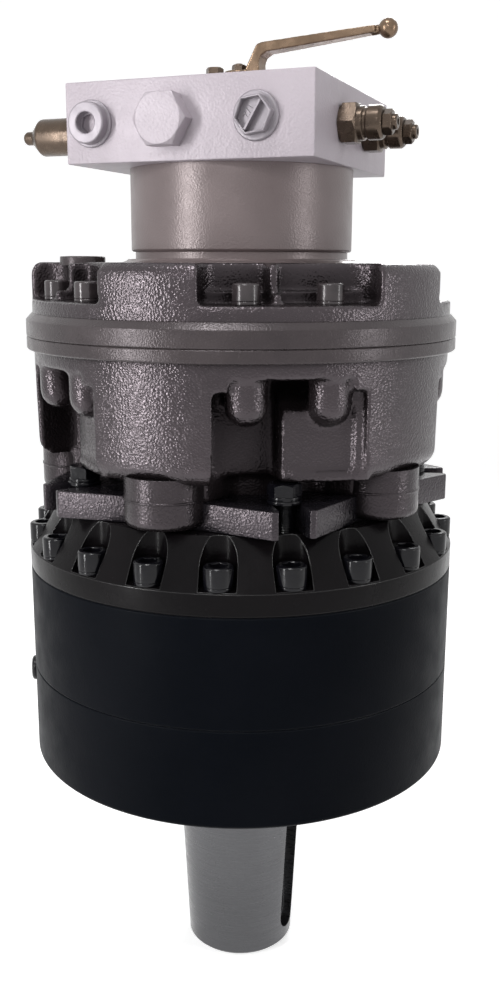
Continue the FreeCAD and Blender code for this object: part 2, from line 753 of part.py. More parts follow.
ring_tip = module * n_ring / 2 - addendum
ring_root = module * n_ring / 2 + dedendum
ring_blank = Part.makeCylinder(case_radius.number, ring_height.number, FreeCAD.Vector(0, 0, ring_floor.number))
groove = seam_groove.number
edges = [e for e in ring_blank.Edges if isinstance(e.Curve, Part.Circle)]
ring_blank = ring_blank.makeChamfer(groove, edges)
space = gear_wire(n_ring, ring_tip, ring_root, -half_backlash, ring_floor.number)
ring_shape = ring_blank.cut(Part.Face(space).extrude(FreeCAD.Vector(0, 0, ring_height.number)))
hole_radius = cover_screw_radius.number + bolt_gap.number
holes = []
for k in range(int(round(cover_screw_count.number))):
    angle = math.radians(cover_screw_turn.number + 360.0 * k / cover_screw_count.number)
    foot = FreeCAD.Vector(cover_screw_circle.number * math.cos(angle),
                          cover_screw_circle.number * math.sin(angle), ring_floor.number)
    holes.append(Part.makeCylinder(hole_radius, ring_height.number, foot))
ring_shape = ring_shape.cut(Part.makeCompound(holes))
plain_feature("ring_gear", ring_shape)

planet_wire = gear_wire(n_planet, module * n_planet / 2 - dedendum, module * n_planet / 2 + addendum,
                        half_backlash, 0)
planet_blank = Part.Face(planet_wire).extrude(FreeCAD.Vector(0, 0, width))
pin_bore = Part.makeCylinder(planet_pin_radius.number + fit_gap.number, width)
planet_shape = planet_blank.cut(pin_bore)
for k in range(3):
    angle = 2 * math.pi * k / 3
    place = FreeCAD.Vector(planet_circle * math.cos(angle), planet_circle * math.sin(angle), tooth_level)
    plain_feature("planet_gear_%d" % (k + 1), planet_shape.copy(),
                  FreeCAD.Placement(place, FreeCAD.Rotation()))

coupling_floor = ring_top + 6
sun_top = coupling_floor + coupling_height / 2 - 1
sun_wire = gear_wire(n_sun, module * n_sun / 2 - dedendum, module * n_sun / 2 + addendum,
                     half_backlash, tooth_level)
sun_shape = Part.Face(sun_wire).extrude(FreeCAD.Vector(0, 0, width))
sun_shape.rotate(FreeCAD.Vector(0, 0, 0), FreeCAD.Vector(0, 0, 1), 180.0 / n_sun)
sun_stem = Part.makeCylinder(sun_shaft_radius.number, sun_top.number - tooth_level,
                             FreeCAD.Vector(0, 0, tooth_level))
plain_feature("sun_gear", sun_shape.fuse(sun_stem).removeSplitter())

# Planet carrier: two plates joined by three posts, with a pin in each planet
carrier = new_body("planet_carrier")
plate_floor = ring_floor + carrier_lift
upper_plate = tooth_top + side_play
pin_circle = gear_module * (sun_teeth + planet_teeth) / 2
low_sketch = new_sketch(carrier, "XY_Plane", plate_floor)
draw_circle(low_sketch, 0, 0, carrier_radius)
draw_circle(low_sketch, 0, 0, journal_radius + press_gap)
pad(carrier, low_sketch, carrier_plate)
post_sketch = new_sketch(carrier, "XY_Plane", plate_floor + carrier_plate - 1, 60)
draw_circle(post_sketch, carrier_post_circle, 0, carrier_post_radius)
post = pad(carrier, post_sketch, gear_width + side_play * 2 + 2)
repeat(carrier, [post], 3)
high_sketch = new_sketch(carrier, "XY_Plane", upper_plate)
draw_circle(high_sketch, 0, 0, carrier_radius)
draw_circle(high_sketch, 0, 0, coupling_radius + 10)
pad(carrier, high_sketch, carrier_plate)
pin_hole_sketch = new_sketch(carrier, "XY_Plane", upper_plate + carrier_plate)
draw_circle(pin_hole_sketch, pin_circle, 0, planet_pin_radius + press_gap)
pin_hole = pocket(carrier, pin_hole_sketch, gear_width + side_play * 2 + carrier_plate * 2)
repeat(carrier, [pin_hole], 3)

pins = new_body("planet_pins", several=True)
pin_sketch = new_sketch(pins, "XY_Plane", plate_floor)
draw_circle(pin_sketch, pin_circle, 0, planet_pin_radius)
pin = pad(pins, pin_sketch, gear_width + side_play * 2 + carrier_plate * 2)
repeat(pins, [pin], 3)

# Input cover: a band, a cone with open scallops for the screws, and the motor's pilot bore
input_floor = cover_top - motor_pilot_depth - input_bearing_width
cover = new_body("input_cover")
revolve(cover, [
    (coupling_radius + 4, ring_top + 5),
    (carrier_radius + 6, ring_top + 5),
    (carrier_radius + 6, ring_top),
    (case_radius - seam_groove, ring_top),
    (case_radius, ring_top + seam_groove),
    (case_radius, band_top - 0.6),
    (case_radius - 0.6, band_top),
    (cone_top_radius, cover_top),
    (motor_pilot, cover_top),
    (motor_pilot, cover_top - motor_pilot_depth),
    (input_bearing_outer, cover_top - motor_pilot_depth),
    (input_bearing_outer, input_floor),
    (coupling_radius + 4, input_floor),
])
scallop_sketch = new_sketch(cover, "XY_Plane", band_top + scallop_floor, cover_screw_turn)
draw_u_slot(scallop_sketch, cover_screw_circle, scallop_radius, case_radius + 6)
scallop = pocket(cover, scallop_sketch, cone_height + 2, upward=True)
hole_sketch = new_sketch(cover, "XY_Plane", ring_top, cover_screw_turn)
draw_circle(hole_sketch, cover_screw_circle, 0, cover_screw_radius + bolt_gap)
screw_hole = pocket(cover, hole_sketch, cover_band + scallop_floor + 1, upward=True)
repeat(cover, [scallop, screw_hole], cover_screw_count)
foot_tap_sketch = new_sketch(cover, "XY_Plane", cover_top, pocket_turn - 90)
draw_circle(foot_tap_sketch, foot_bolt_circle, 0, foot_bolt_radius + fit_gap)
foot_tap = pocket(cover, foot_tap_sketch, foot_bolt_reach + 3)
repeat(cover, [foot_tap], lobes)

# Twenty socket screws that hold cover, ring and lower case together
washers = new_body("cover_washers", several=True)
washer_floor = band_top + scallop_floor
one = revolve(washers, [
    (cover_screw_circle + cover_screw_radius + 0.3, washer_floor),
    (cover_screw_circle + cover_screw_head, washer_floor),
    (cover_screw_circle + cover_screw_head, washer_floor + washer_thick),
    (cover_screw_circle + cover_screw_radius + 0.3, washer_floor + washer_thick),
], axis_at=cover_screw_circle)
repeat(washers, [one], cover_screw_count)
turn_to(washers, cover_screw_turn + 90)

screws = new_body("cover_screws", several=True)
head_floor = washer_floor + washer_thick
head_top = head_floor + cover_head_height
one = revolve(screws, [
    (cover_screw_circle, ring_floor - cover_screw_reach),
    (cover_screw_circle + cover_screw_radius, ring_floor - cover_screw_reach),
    (cover_screw_circle + cover_screw_radius, head_floor),
    (cover_screw_circle + cover_screw_head, head_floor),
    (cover_screw_circle + cover_screw_head, head_top - 1),
    (cover_screw_circle + cover_screw_head - 1, head_top),
    (cover_screw_circle, head_top),
], axis_at=cover_screw_circle)
socket_sketch = new_sketch(screws, "XY_Plane", head_top)
draw_hexagon(socket_sketch, cover_screw_circle, as_size(0), cover_socket * 2 * cosine(30))
socket = pocket(screws, socket_sketch, cover_head_height / 2)
repeat(screws, [one, socket], cover_screw_count)
turn_to(screws, cover_screw_turn + 90)

# Coupling sleeve between the crankshaft and the sun gear, and its bearing
ring_body("input_coupling", sun_shaft_radius + press_gap, coupling_radius, coupling_floor, coupling_height)
ring_body("input_bearing", coupling_radius + fit_gap, input_bearing_outer - fit_gap, input_floor,
          input_bearing_width)

# Front housing: foot plate, five columns, a casting with five open channels, and a flange
crank_floor = coupling_floor + coupling_height + 2
bearing_one_floor = crank_floor + 3
bearing_one_top = bearing_one_floor + crank_bearing_width
front = new_body("front_housing")
revolve(front, [
    (coupling_radius + 2, cover_top - motor_pilot_depth + face_gap),
    (motor_pilot - fit_gap, cover_top - motor_pilot_depth + face_gap),
    (motor_pilot - fit_gap, cover_top),
    (hub_radius, cover_top),
    (hub_radius, casting_floor),
    (lobe_low_radius - edge_round, casting_floor),
    (lobe_low_radius - edge_round * 0.3, casting_floor + edge_round * 0.3),
    (lobe_low_radius, casting_floor + edge_round),
    (lobe_top_radius, casting_top),
    (flange_radius, casting_top),
    (flange_radius, joint_level - seam_groove),
    (flange_radius - seam_groove, joint_level),
    (crankcase_radius, joint_level),
    (crankcase_radius, bearing_one_top + 2),
    (crank_bearing_outer, bearing_one_top + 2),
    (crank_bearing_outer, bearing_one_floor),
    (coupling_radius + 2, bearing_one_floor),
])
channel_sketch = new_sketch(front, "XY_Plane", foot_top)
channel_end = flange_radius + 10
draw_outline(channel_sketch, [
    (channel_floor, -channel_half),
    (channel_end, -channel_half),
    (channel_end, channel_half),
    (channel_floor, channel_half),
])
channel = pocket(front, channel_sketch, casting_top - foot_top - channel_roof, upward=True)
channels = repeat(front, [channel], lobes)


def lobe_edge(edge):
    box = edge.BoundBox
    upright = box.ZLength > 20 and box.XLength < 3 and box.YLength < 3
    out = math.hypot(box.Center.x, box.Center.y) > (channel_floor.number + lobe_low_radius.number) / 2
    return upright and out


soften(front, channels, channel_round, lobe_edge)
foot_sketch = new_sketch(front, "XY_Plane", cover_top)
corner = foot_apothem / cosine(36)
draw_outline(foot_sketch, [(corner * cosine(72 * k), corner * sine(72 * k)) for k in range(5)])
draw_circle(foot_sketch, 0, 0, hub_radius - 6)
pad(front, foot_sketch, foot_thick)
column_sketch = new_sketch(front, "XY_Plane", foot_top - column_drop, 36)
draw_circle(column_sketch, column_circle, 0, column_radius)
column = pad(front, column_sketch, column_drop + casting_floor - foot_top + 2)
web_sketch = new_sketch(front, "XY_Plane", foot_top - 1, 36)
draw_outline(web_sketch, [
    (hub_radius - 6, -column_web),
    (column_circle, -column_radius),
    (column_circle, column_radius),
    (hub_radius - 6, column_web),
])
web = pad(front, web_sketch, casting_floor - foot_top + 1)
panel_sketch = new_sketch(front, "XY_Plane", casting_floor)
draw_outline(panel_sketch, [
    (channel_floor - 4, -panel_edge),
    (panel_face, -panel_edge),
    (panel_face, channel_half + 2),
    (channel_floor - 4, channel_half + 2),
])
panel = pad(front, panel_sketch, panel_height)
boss_centre = casting_top - boss_drop + boss_radius + channel_roof
bosses = []
for side in (-1, 1):
    boss_sketch = new_sketch(front, "XY_Plane", boss_centre, boss_spread * side)
    draw_circle(boss_sketch, boss_circle, 0, boss_radius)
    bosses.append(pad(front, boss_sketch, casting_top - boss_centre - 1))
repeat(front, [column, web, panel] + bosses, lobes)
slot_sketch = new_sketch(front, "XY_Plane", foot_top)
draw_u_slot(slot_sketch, foot_bolt_circle, foot_slot_half, corner + 10)
slot = pocket(front, slot_sketch, foot_thick)
mouth_sketch = new_sketch(front, "XY_Plane", foot_top)
mouth = corner - foot_slot_half * 0.9
draw_outline(mouth_sketch, [
    (mouth - 3, -foot_slot_half + 0.5),
    (corner + 10, -foot_slot_half - 3.5),
    (corner + 10, foot_slot_half + 3.5),
    (mouth - 3, foot_slot_half - 0.5),
])
mouth_cut = pocket(front, mouth_sketch, foot_thick)
bore_sketch = side_sketch(front, 0, 36)
draw_circle(bore_sketch, 0, piston_level, piston_radius + fit_gap)
throw_reach = eccentric_radius + eccentric_wall + crank_throw + face_gap + fit_gap
bore = pocket(front, bore_sketch, throw_reach + piston_length + 4, upward=True)
repeat(front, [slot, mouth_cut, bore], lobes)
screw_taps = []
for side in (-1, 1):
    tap = new_sketch(front, "XY_Plane", joint_level, boss_spread * side)
    draw_circle(tap, boss_circle, 0, joint_screw_radius + fit_gap)
    screw_taps.append(pocket(front, tap, joint_screw_depth + 2))
repeat(front, screw_taps, lobes)
turn_to(front, pocket_turn)

# Hexagon bolts that hold the motor's foot on the cover, each over a flat washer and a spring washer
foot_head_floor = foot_top + washer_thick + lock_washer
foot_washers = new_body("mounting_washers", several=True)
one = revolve(foot_washers, [
    (foot_bolt_circle + foot_bolt_radius + 0.3, foot_top),
    (foot_bolt_circle + washer_radius, foot_top),
    (foot_bolt_circle + washer_radius, foot_top + washer_thick),
    (foot_bolt_circle + washer_radius - 0.8, foot_top + washer_thick),
    (foot_bolt_circle + washer_radius - 0.8, foot_head_floor),
    (foot_bolt_circle + foot_bolt_radius + 0.3, foot_head_floor),
], axis_at=foot_bolt_circle)
repeat(foot_washers, [one], lobes)
turn_to(foot_washers, pocket_turn)

foot_bolts = new_body("mounting_bolts", several=True)
one = revolve(foot_bolts, [
    (foot_bolt_circle, cover_top - foot_bolt_reach),
    (foot_bolt_circle + foot_bolt_radius, cover_top - foot_bolt_reach),
    (foot_bolt_circle + foot_bolt_radius, foot_head_floor + 1),
    (foot_bolt_circle, foot_head_floor + 1),
], axis_at=foot_bolt_circle)
head_sketch = new_sketch(foot_bolts, "XY_Plane", foot_head_floor)
draw_hexagon(head_sketch, foot_bolt_circle, as_size(0), foot_bolt_flats, 12)
head = pad(foot_bolts, head_sketch, foot_bolt_head)
repeat(foot_bolts, [one, head], lobes)
turn_to(foot_bolts, pocket_turn)

# Crankshaft with its eccentric, the ring that runs on it, its bearings and the pistons
ecc_floor = as_size(piston_level) - eccentric_height / 2
ecc_top = ecc_floor + eccentric_height
rear_bearing_floor = joint_level + 6
rear_bearing_top = rear_bearing_floor + 20
crank = new_body("crankshaft")
revolve(crank, [
    (0, coupling_floor + coupling_height / 2),
    (sun_shaft_radius, coupling_floor + coupling_height / 2),
    (sun_shaft_radius, crank_floor),
    (crank_radius, crank_floor),
    (crank_radius, ecc_floor + 1),
    (crank_top_radius, ecc_floor + 1),
    (crank_top_radius, rear_bearing_top - 0.5),
    (sun_shaft_radius, rear_bearing_top - 0.5),
    (sun_shaft_radius, rear_top + rotor_floor + 12),
    (0, rear_top + rotor_floor + 12),
])
ecc_sketch = new_sketch(crank, "XY_Plane", ecc_floor)
draw_circle(ecc_sketch, crank_throw, 0, eccentric_radius)
pad(crank, ecc_sketch, eccentric_height)
turn_to(crank, pocket_turn + 36)
ecc_ring = new_body("eccentric_ring")
ecc_ring_sketch = new_sketch(ecc_ring, "XY_Plane", ecc_floor + 1)
draw_circle(ecc_ring_sketch, crank_throw, 0, eccentric_radius + eccentric_wall)
draw_circle(ecc_ring_sketch, crank_throw, 0, eccentric_radius + fit_gap)
pad(ecc_ring, ecc_ring_sketch, eccentric_height - 2)
turn_to(ecc_ring, pocket_turn + 36)
ring_body("front_crank_bearing", crank_radius + fit_gap, crank_bearing_outer - fit_gap, bearing_one_floor,
          crank_bearing_width)
ring_body("rear_crank_bearing", crank_top_radius + fit_gap, rear_bearing_outer - fit_gap, rear_bearing_floor,
          rear_bearing_top - rear_bearing_floor)
pistons = new_body("pistons", several=True)
piston_sketch = new_sketch(pistons, "YZ_Plane", throw_reach)
draw_circle(piston_sketch, 0, piston_level, piston_radius)
piston = pad(pistons, piston_sketch, piston_length)
repeat(pistons, [piston], lobes)
turn_to(pistons, pocket_turn + 36)

# Rear housing: a flange, five lobes with open pockets between them, ribs and the drain boss
rear = new_body("rear_housing")
revolve(rear, [
    (crankcase_radius, joint_level),
    (flange_radius - seam_groove, joint_level),
    (flange_radius, joint_level + seam_groove),
    (flange_radius, joint_level + upper_flange),
    (rear_radius, joint_level + upper_flange + flange_chamfer),
    (rear_radius, rear_top - edge_round),
    (rear_radius - edge_round * 0.3, rear_top - edge_round * 0.3),
    (rear_radius - edge_round, rear_top),
    (sun_shaft_radius + 2, rear_top),
    (sun_shaft_radius + 2, rear_bearing_top),
    (rear_bearing_outer, rear_bearing_top),
    (rear_bearing_outer, joint_level + 4),
    (crankcase_radius, joint_level + 4),
])
rear_sketch = new_sketch(rear, "XY_Plane", sill_level)
rear_end = rear_radius + 10
draw_outline(rear_sketch, [
    (rear_pocket_floor, -rear_pocket_half + 8),
    (rear_pocket_floor + 8, -rear_pocket_half),
    (rear_radius - 6, -rear_pocket_half - rear_pocket_flare * 0.5),
    (rear_end, -rear_pocket_half - rear_pocket_flare * 2),
    (rear_end, rear_pocket_half + rear_pocket_flare * 2),
    (rear_radius - 6, rear_pocket_half + rear_pocket_flare * 0.5),
    (rear_pocket_floor + 8, rear_pocket_half),
    (rear_pocket_floor, rear_pocket_half - 8),
])
rear_pocket = pocket(rear, rear_sketch, rear_height, upward=True)
repeat(rear, [rear_pocket], lobes)
rib_sketch = new_sketch(rear, "XY_Plane", sill_level - 1)
draw_outline(rib_sketch, [
    (rear_pocket_floor - 4, -rib_offset - rib_half),
    (rear_pocket_floor + 9, -rib_offset - rib_half),
    (rear_pocket_floor + 9, -rib_offset + rib_half),
    (rear_pocket_floor - 4, -rib_offset + rib_half),
])
rib = pad(rear, rib_sketch, rear_top - sill_level)
hole_features = []
for side in (-1, 1):
    hole = new_sketch(rear, "XY_Plane", sill_level, boss_spread * side)
    draw_circle(hole, boss_circle, 0, joint_screw_radius + bolt_gap)
    hole_features.append(pocket(rear, hole, rear_sill))
repeat(rear, [rib] + hole_features, lobes)
drain_sketch = new_sketch(rear, "XY_Plane", rear_top - 1, drain_turn - pocket_turn)
draw_circle(drain_sketch, drain_circle, 0, drain_radius)
pad(rear, drain_sketch, drain_height + 1)
drain_hole_sketch = new_sketch(rear, "XY_Plane", rear_top + drain_height, drain_turn - pocket_turn)
draw_circle(drain_hole_sketch, drain_circle, 0, drain_radius * 0.55 + fit_gap)
pocket(rear, drain_hole_sketch, 16)
block_tap_sketch = new_sketch(rear, "XY_Plane", rear_top, block_turn - pocket_turn + 90)
for a in (-1, 1):
    for b in (-1, 1):
        draw_circle(block_tap_sketch, block_bolt_along * a, block_bolt_across * b,
                    block_bolt_radius + fit_gap)
pocket(rear, block_tap_sketch, block_bolt_reach + 2)
turn_to(rear, pocket_turn)

drain_plug = new_body("drain_plug")
revolve(drain_plug, [
    (0, -10),
    (drain_radius * 0.55, -10),
    (drain_radius * 0.55, 0),
    (0, 0),
])
drain_socket = new_sketch(drain_plug, "XY_Plane", 0)
draw_hexagon(drain_socket, as_size(0), as_size(0), drain_radius * 0.55)
pocket(drain_plug, drain_socket, 5)
drain_x = drain_circle * sine(drain_turn)
drain_y = -drain_circle * cosine(drain_turn)
bind(drain_plug, **{"Placement.Base.x": drain_x, "Placement.Base.y": drain_y,
                    "Placement.Base.z": rear_top + drain_height - 0.5})

# Socket screws and washers in the pockets, two to a pocket
joint_washers = new_body("joint_washers", several=True)
joint_screws = new_body("joint_screws", several=True)
for side in (-1, 1):
    flat_sketch = new_sketch(joint_washers, "XY_Plane", sill_level, boss_spread * side)
    draw_circle(flat_sketch, boss_circle, 0, joint_head_radius)
    draw_circle(flat_sketch, boss_circle, 0, joint_screw_radius + 0.3)
    first = pad(joint_washers, flat_sketch, joint_washer)
    repeat(joint_washers, [first], lobes)
    shank_sketch = new_sketch(joint_screws, "XY_Plane", joint_level - joint_screw_depth, boss_spread * side)
    draw_circle(shank_sketch, boss_circle, 0, joint_screw_radius)
    shank = pad(joint_screws, shank_sketch, joint_screw_depth + rear_sill + joint_washer + 1)
    cap_sketch = new_sketch(joint_screws, "XY_Plane", sill_level + joint_washer, boss_spread * side)
    draw_circle(cap_sketch, boss_circle, 0, joint_head_radius)
    cap = pad(joint_screws, cap_sketch, joint_head_height)
    key_hole = new_sketch(joint_screws, "XY_Plane", sill_level + joint_washer + joint_head_height,
                          boss_spread * side)
    draw_hexagon(key_hole, boss_circle, as_size(0), joint_socket * 2 * cosine(30))
    keyed = pocket(joint_screws, key_hole, joint_head_height / 2)
    repeat(joint_screws, [shank, cap, keyed], lobes)
turn_to(joint_washers, pocket_turn)
turn_to(joint_screws, pocket_turn)

# Distributor housing, the turned neck, and the rotor inside it
neck = new_body("distributor_housing")
groove_floor = rear_top + collar_height
neck_floor = groove_floor + neck_groove_height
revolve(neck, [
    (sun_shaft_radius + 2, rear_top),
    (collar_radius + collar_flare, rear_top),
    (collar_radius, rear_top + collar_height * 0.6),
    (collar_radius, groove_floor),
    (neck_groove_radius, groove_floor),
    (neck_groove_radius, neck_floor - 0.8),
    (neck_radius - 0.8, neck_floor - 0.8),
    (neck_radius, neck_floor),
    (neck_radius, block_floor),
    (rotor_radius + fit_gap, block_floor),
    (rotor_radius + fit_gap, rear_top + rotor_floor),
    (sun_shaft_radius + 2, rear_top + rotor_floor),
])
neck_sketch = new_sketch(neck, "XY_Plane", rear_top)
for a in (-1, 1):
    for b in (-1, 1):
        draw_circle(neck_sketch, block_bolt_along * a, block_bolt_across * b, block_bolt_radius + bolt_gap)
pocket(neck, neck_sketch, neck_height, upward=True)
turn_to(neck, block_turn + 90)
rotor = new_body("distributor_rotor")
revolve(rotor, [
    (sun_shaft_radius + press_gap, rear_top + rotor_floor + face_gap),
    (rotor_radius, rear_top + rotor_floor + face_gap),
    (rotor_radius, block_floor - face_gap),
    (0, block_floor - face_gap),
    (0, rear_top + rotor_floor + 12),
    (sun_shaft_radius + press_gap, rear_top + rotor_floor + 12),
])

# Valve block, bored from its faces
block = new_body("valve_block")
block_sketch = new_sketch(block, "XY_Plane", block_floor)
draw_outline(block_sketch, [
    (-block_left, -block_front),
    (block_right, -block_front),
    (block_right, block_back),
    (-block_left, block_back),
])
pad(block, block_sketch, block_height)
front_bores = new_sketch(block, "XZ_Plane", block_front)
draw_circle(front_bores, socket_plug_place, valve_height, plug_thread + fit_gap)
draw_circle(front_bores, hex_plug_place, valve_height, hex_thread + fit_gap)
draw_circle(front_bores, port_plug_place, valve_height, plug_thread + fit_gap)
pocket(block, front_bores, plug_reach + 2)
back_bores = new_sketch(block, "XZ_Plane", -block_back)
draw_circle(back_bores, -main_port_spread, valve_height, main_port_radius)
draw_circle(back_bores, main_port_spread, valve_height, main_port_radius)
pocket(block, back_bores, main_port_depth, upward=True)
right_bores = new_sketch(block, "YZ_Plane", block_right)
draw_circle(right_bores, -cartridge_place, valve_height, cartridge_thread + fit_gap)
draw_circle(right_bores, cartridge_place, valve_height, cartridge_thread + fit_gap)
pocket(block, right_bores, cartridge_reach + 1)
left_bore = new_sketch(block, "YZ_Plane", -block_left)
draw_circle(left_bore, -cartridge_place + 2, valve_height, cartridge_thread + fit_gap)
pocket(block, left_bore, cartridge_reach + 1, upward=True)
bolt_bores = new_sketch(block, "XY_Plane", block_top)
sink_bores = new_sketch(block, "XY_Plane", block_top)
for a in (-1, 1):
    for b in (-1, 1):
        draw_circle(bolt_bores, block_bolt_along * a, block_bolt_across * b, block_bolt_radius + bolt_gap)
        draw_circle(sink_bores, block_bolt_along * a, block_bolt_across * b, block_bolt_head + bolt_gap)
pocket(block, bolt_bores, block_height)
pocket(block, sink_bores, block_bolt_sink)
ball_bore = new_sketch(block, "XY_Plane", block_top)
draw_circle(ball_bore, spindle_along, -spindle_across, gland_radius + fit_gap)
ball_floor = valve_height - ball_radius - 0.5
pocket(block, ball_bore, block_top - ball_floor)
top_hole = new_sketch(block, "XY_Plane", block_top)
draw_circle(top_hole, top_bolt_along, -top_bolt_across, top_bolt_flats * 0.3 + fit_gap)
pocket(block, top_hole, 10)
block.Placement = FreeCAD.Placement(FreeCAD.Vector(0, 0, 0),
                                    FreeCAD.Rotation(FreeCAD.Vector(0, 0, 1), block_turn.number))
block.setExpression("Placement.Rotation.Angle", block_turn.text)

block_bolts = new_body("block_bolts", several=True)
bolt_head_floor = block_top - block_bolt_sink
shank_outline = new_sketch(block_bolts, "XY_Plane", rear_top - block_bolt_reach)
head_outline = new_sketch(block_bolts, "XY_Plane", bolt_head_floor)
key_outline = new_sketch(block_bolts, "XY_Plane", bolt_head_floor + block_bolt_radius * 2)
for a in (-1, 1):
    for b in (-1, 1):
        draw_circle(shank_outline, block_bolt_along * a, block_bolt_across * b, block_bolt_radius)
        draw_circle(head_outline, block_bolt_along * a, block_bolt_across * b, block_bolt_head)
        draw_hexagon(key_outline, block_bolt_along * a, block_bolt_across * b, block_bolt_radius * 1.6)
pad(block_bolts, shank_outline, bolt_head_floor - rear_top + block_bolt_reach + 1)
pad(block_bolts, head_outline, block_bolt_radius * 2)
pocket(block_bolts, key_outline, block_bolt_radius)
block_bolts.Placement = block.Placement
block_bolts.setExpression("Placement.Rotation.Angle", block_turn.text)

# Round plug with a hexagon socket
socket_plug = new_body("socket_plug")
revolve(socket_plug, [
    (0, -plug_reach),
    (plug_thread, -plug_reach),
    (plug_thread, 0),
    (plug_collar, 0),
    (plug_collar, plug_rim),
    (plug_head, plug_rim),
    (plug_head, plug_collar_height - 0.8),
    (plug_head - 0.8, plug_collar_height),
    (0, plug_collar_height),
])
plug_key = new_sketch(socket_plug, "XY_Plane", plug_collar_height)
draw_hexagon(plug_key, as_size(0), as_size(0), plug_socket * 2 * cosine(30))
pocket(socket_plug, plug_key, plug_collar_height * 0.7)
seat(socket_plug, socket_plug_place, block_front, valve_height, TO_FRONT)


def turned_hexagon(label, flats, floor, height, turn, chamfer):
    """A hexagonal prism whose outer corners are turned off to a cone."""
    body = new_body(label)
    outline = new_sketch(body, "XY_Plane", floor)
    draw_hexagon(outline, as_size(0), as_size(0), flats, turn)
    pad(body, outline, height)
    reach = flats / 2 / cosine(30)
    revolve(body, [
        (flats / 2 - chamfer * 0.3, floor + height),
        (reach + 1, floor + height - chamfer),
        (reach + 1, floor + height + 1),
        (flats / 2 - chamfer * 0.3, floor + height + 1),
    ], cut=True)
    return body


# Large hexagon plug
hex_plug = turned_hexagon("hex_plug", hex_flats, as_size(0), hex_head_height, 0, 2.5)
hex_stem = new_sketch(hex_plug, "XY_Plane", -plug_reach)
draw_circle(hex_stem, 0, 0, hex_thread)
pad(hex_plug, hex_stem, plug_reach + 1)
seat(hex_plug, hex_plug_place, block_front, valve_height, TO_FRONT)

# Moulded port plug: a round flange, a hexagonal cup and a web across it
port_plug = new_body("port_plug")
revolve(port_plug, [
    (0, -plug_reach),
    (plug_thread, -plug_reach),
    (plug_thread, 0),
    (port_flange, 0),
    (port_flange, 1.8),
    (port_flange - 0.6, 2.4),
    (0, 2.4),
])
cup_sketch = new_sketch(port_plug, "XY_Plane", 1)
draw_hexagon(cup_sketch, as_size(0), as_size(0), port_flats, 8)
pad(port_plug, cup_sketch, port_cup_height - 1)
well_sketch = new_sketch(port_plug, "XY_Plane", port_cup_height)
draw_hexagon(well_sketch, as_size(0), as_size(0), port_flats - cup_wall * 2, 8)
pocket(port_plug, well_sketch, cup_depth)
web_sketch = new_sketch(port_plug, "XY_Plane", port_cup_height - cup_depth - 0.5, 59)
web_half = port_flats / 2 - cup_wall / 2
draw_outline(web_sketch, [
    (-web_half, -cup_wall / 2),
    (web_half, -cup_wall / 2),
    (web_half, cup_wall / 2),
    (-web_half, cup_wall / 2),
])
pad(port_plug, web_sketch, cup_depth)
seat(port_plug, port_plug_place, block_front, valve_height, TO_FRONT)

# Two equal cartridges with adjusting screws on the right face
for label, along in (("front", cartridge_place), ("rear", -cartridge_place)):
    cartridge = turned_hexagon(label + "_cartridge", cartridge_flats, as_size(0), cartridge_hex_height, 30, 1.5)
    stem = new_sketch(cartridge, "XY_Plane", -cartridge_reach)
    draw_circle(stem, 0, 0, cartridge_thread)
    pad(cartridge, stem, cartridge_reach + 1)
    barrel_top = cartridge_hex_height + cartridge_body_height
    revolve(cartridge, [
        (0, cartridge_hex_height - 1),
        (cartridge_body, cartridge_hex_height - 1),
        (cartridge_body, barrel_top - 1),
        (cartridge_body - 1, barrel_top),
        (0, barrel_top),
    ])
    seat(cartridge, block_right, along, valve_height, TO_RIGHT)
    adjuster = turned_hexagon(label + "_adjuster", adjuster_flats, barrel_top + face_gap, adjuster_height, 0, 1.2)
    seat(adjuster, block_right, along, valve_height, TO_RIGHT)

# Longer cartridge and its adjusting screw on the left face
left_cartridge = turned_hexagon("left_cartridge", left_flats, as_size(0), left_hex_height, 0, 1.5)
stem = new_sketch(left_cartridge, "XY_Plane", -cartridge_reach)
draw_circle(stem, 0, 0, cartridge_thread)
pad(left_cartridge, stem, cartridge_reach + 1)
left_top = left_hex_height + left_body_height
revolve(left_cartridge, [
    (0, left_hex_height - 1),
    (left_body - 1.5, left_hex_height - 1),
    (left_body - 1.5, left_hex_height + 3),
    (left_body, left_hex_height + 3),
    (left_body, left_top - left_taper),
    (left_body - left_taper, left_top),
    (0, left_top),
])
seat(left_cartridge, -block_left, cartridge_place - 2, valve_height, TO_LEFT)
left_adjuster = new_body("left_adjuster")
revolve(left_adjuster, [
    (0, left_top + face_gap),
    (left_adjuster_radius, left_top + face_gap),
    (left_adjuster_radius, left_top + left_adjuster_height - 1),
    (left_adjuster_radius - 1, left_top + left_adjuster_height),
    (0, left_top + left_adjuster_height),
])
seat(left_adjuster, -block_left, cartridge_place - 2, valve_height, TO_LEFT)

# Small hexagon bolt on the block's top
top_bolt = turned_hexagon("top_bolt", top_bolt_flats, as_size(0), top_bolt_head, 10, 0.8)
top_stem = new_sketch(top_bolt, "XY_Plane", -8)
draw_circle(top_stem, 0, 0, top_bolt_flats * 0.3)
pad(top_bolt, top_stem, 9)
seat(top_bolt, top_bolt_along, top_bolt_across, block_top, UPRIGHT)

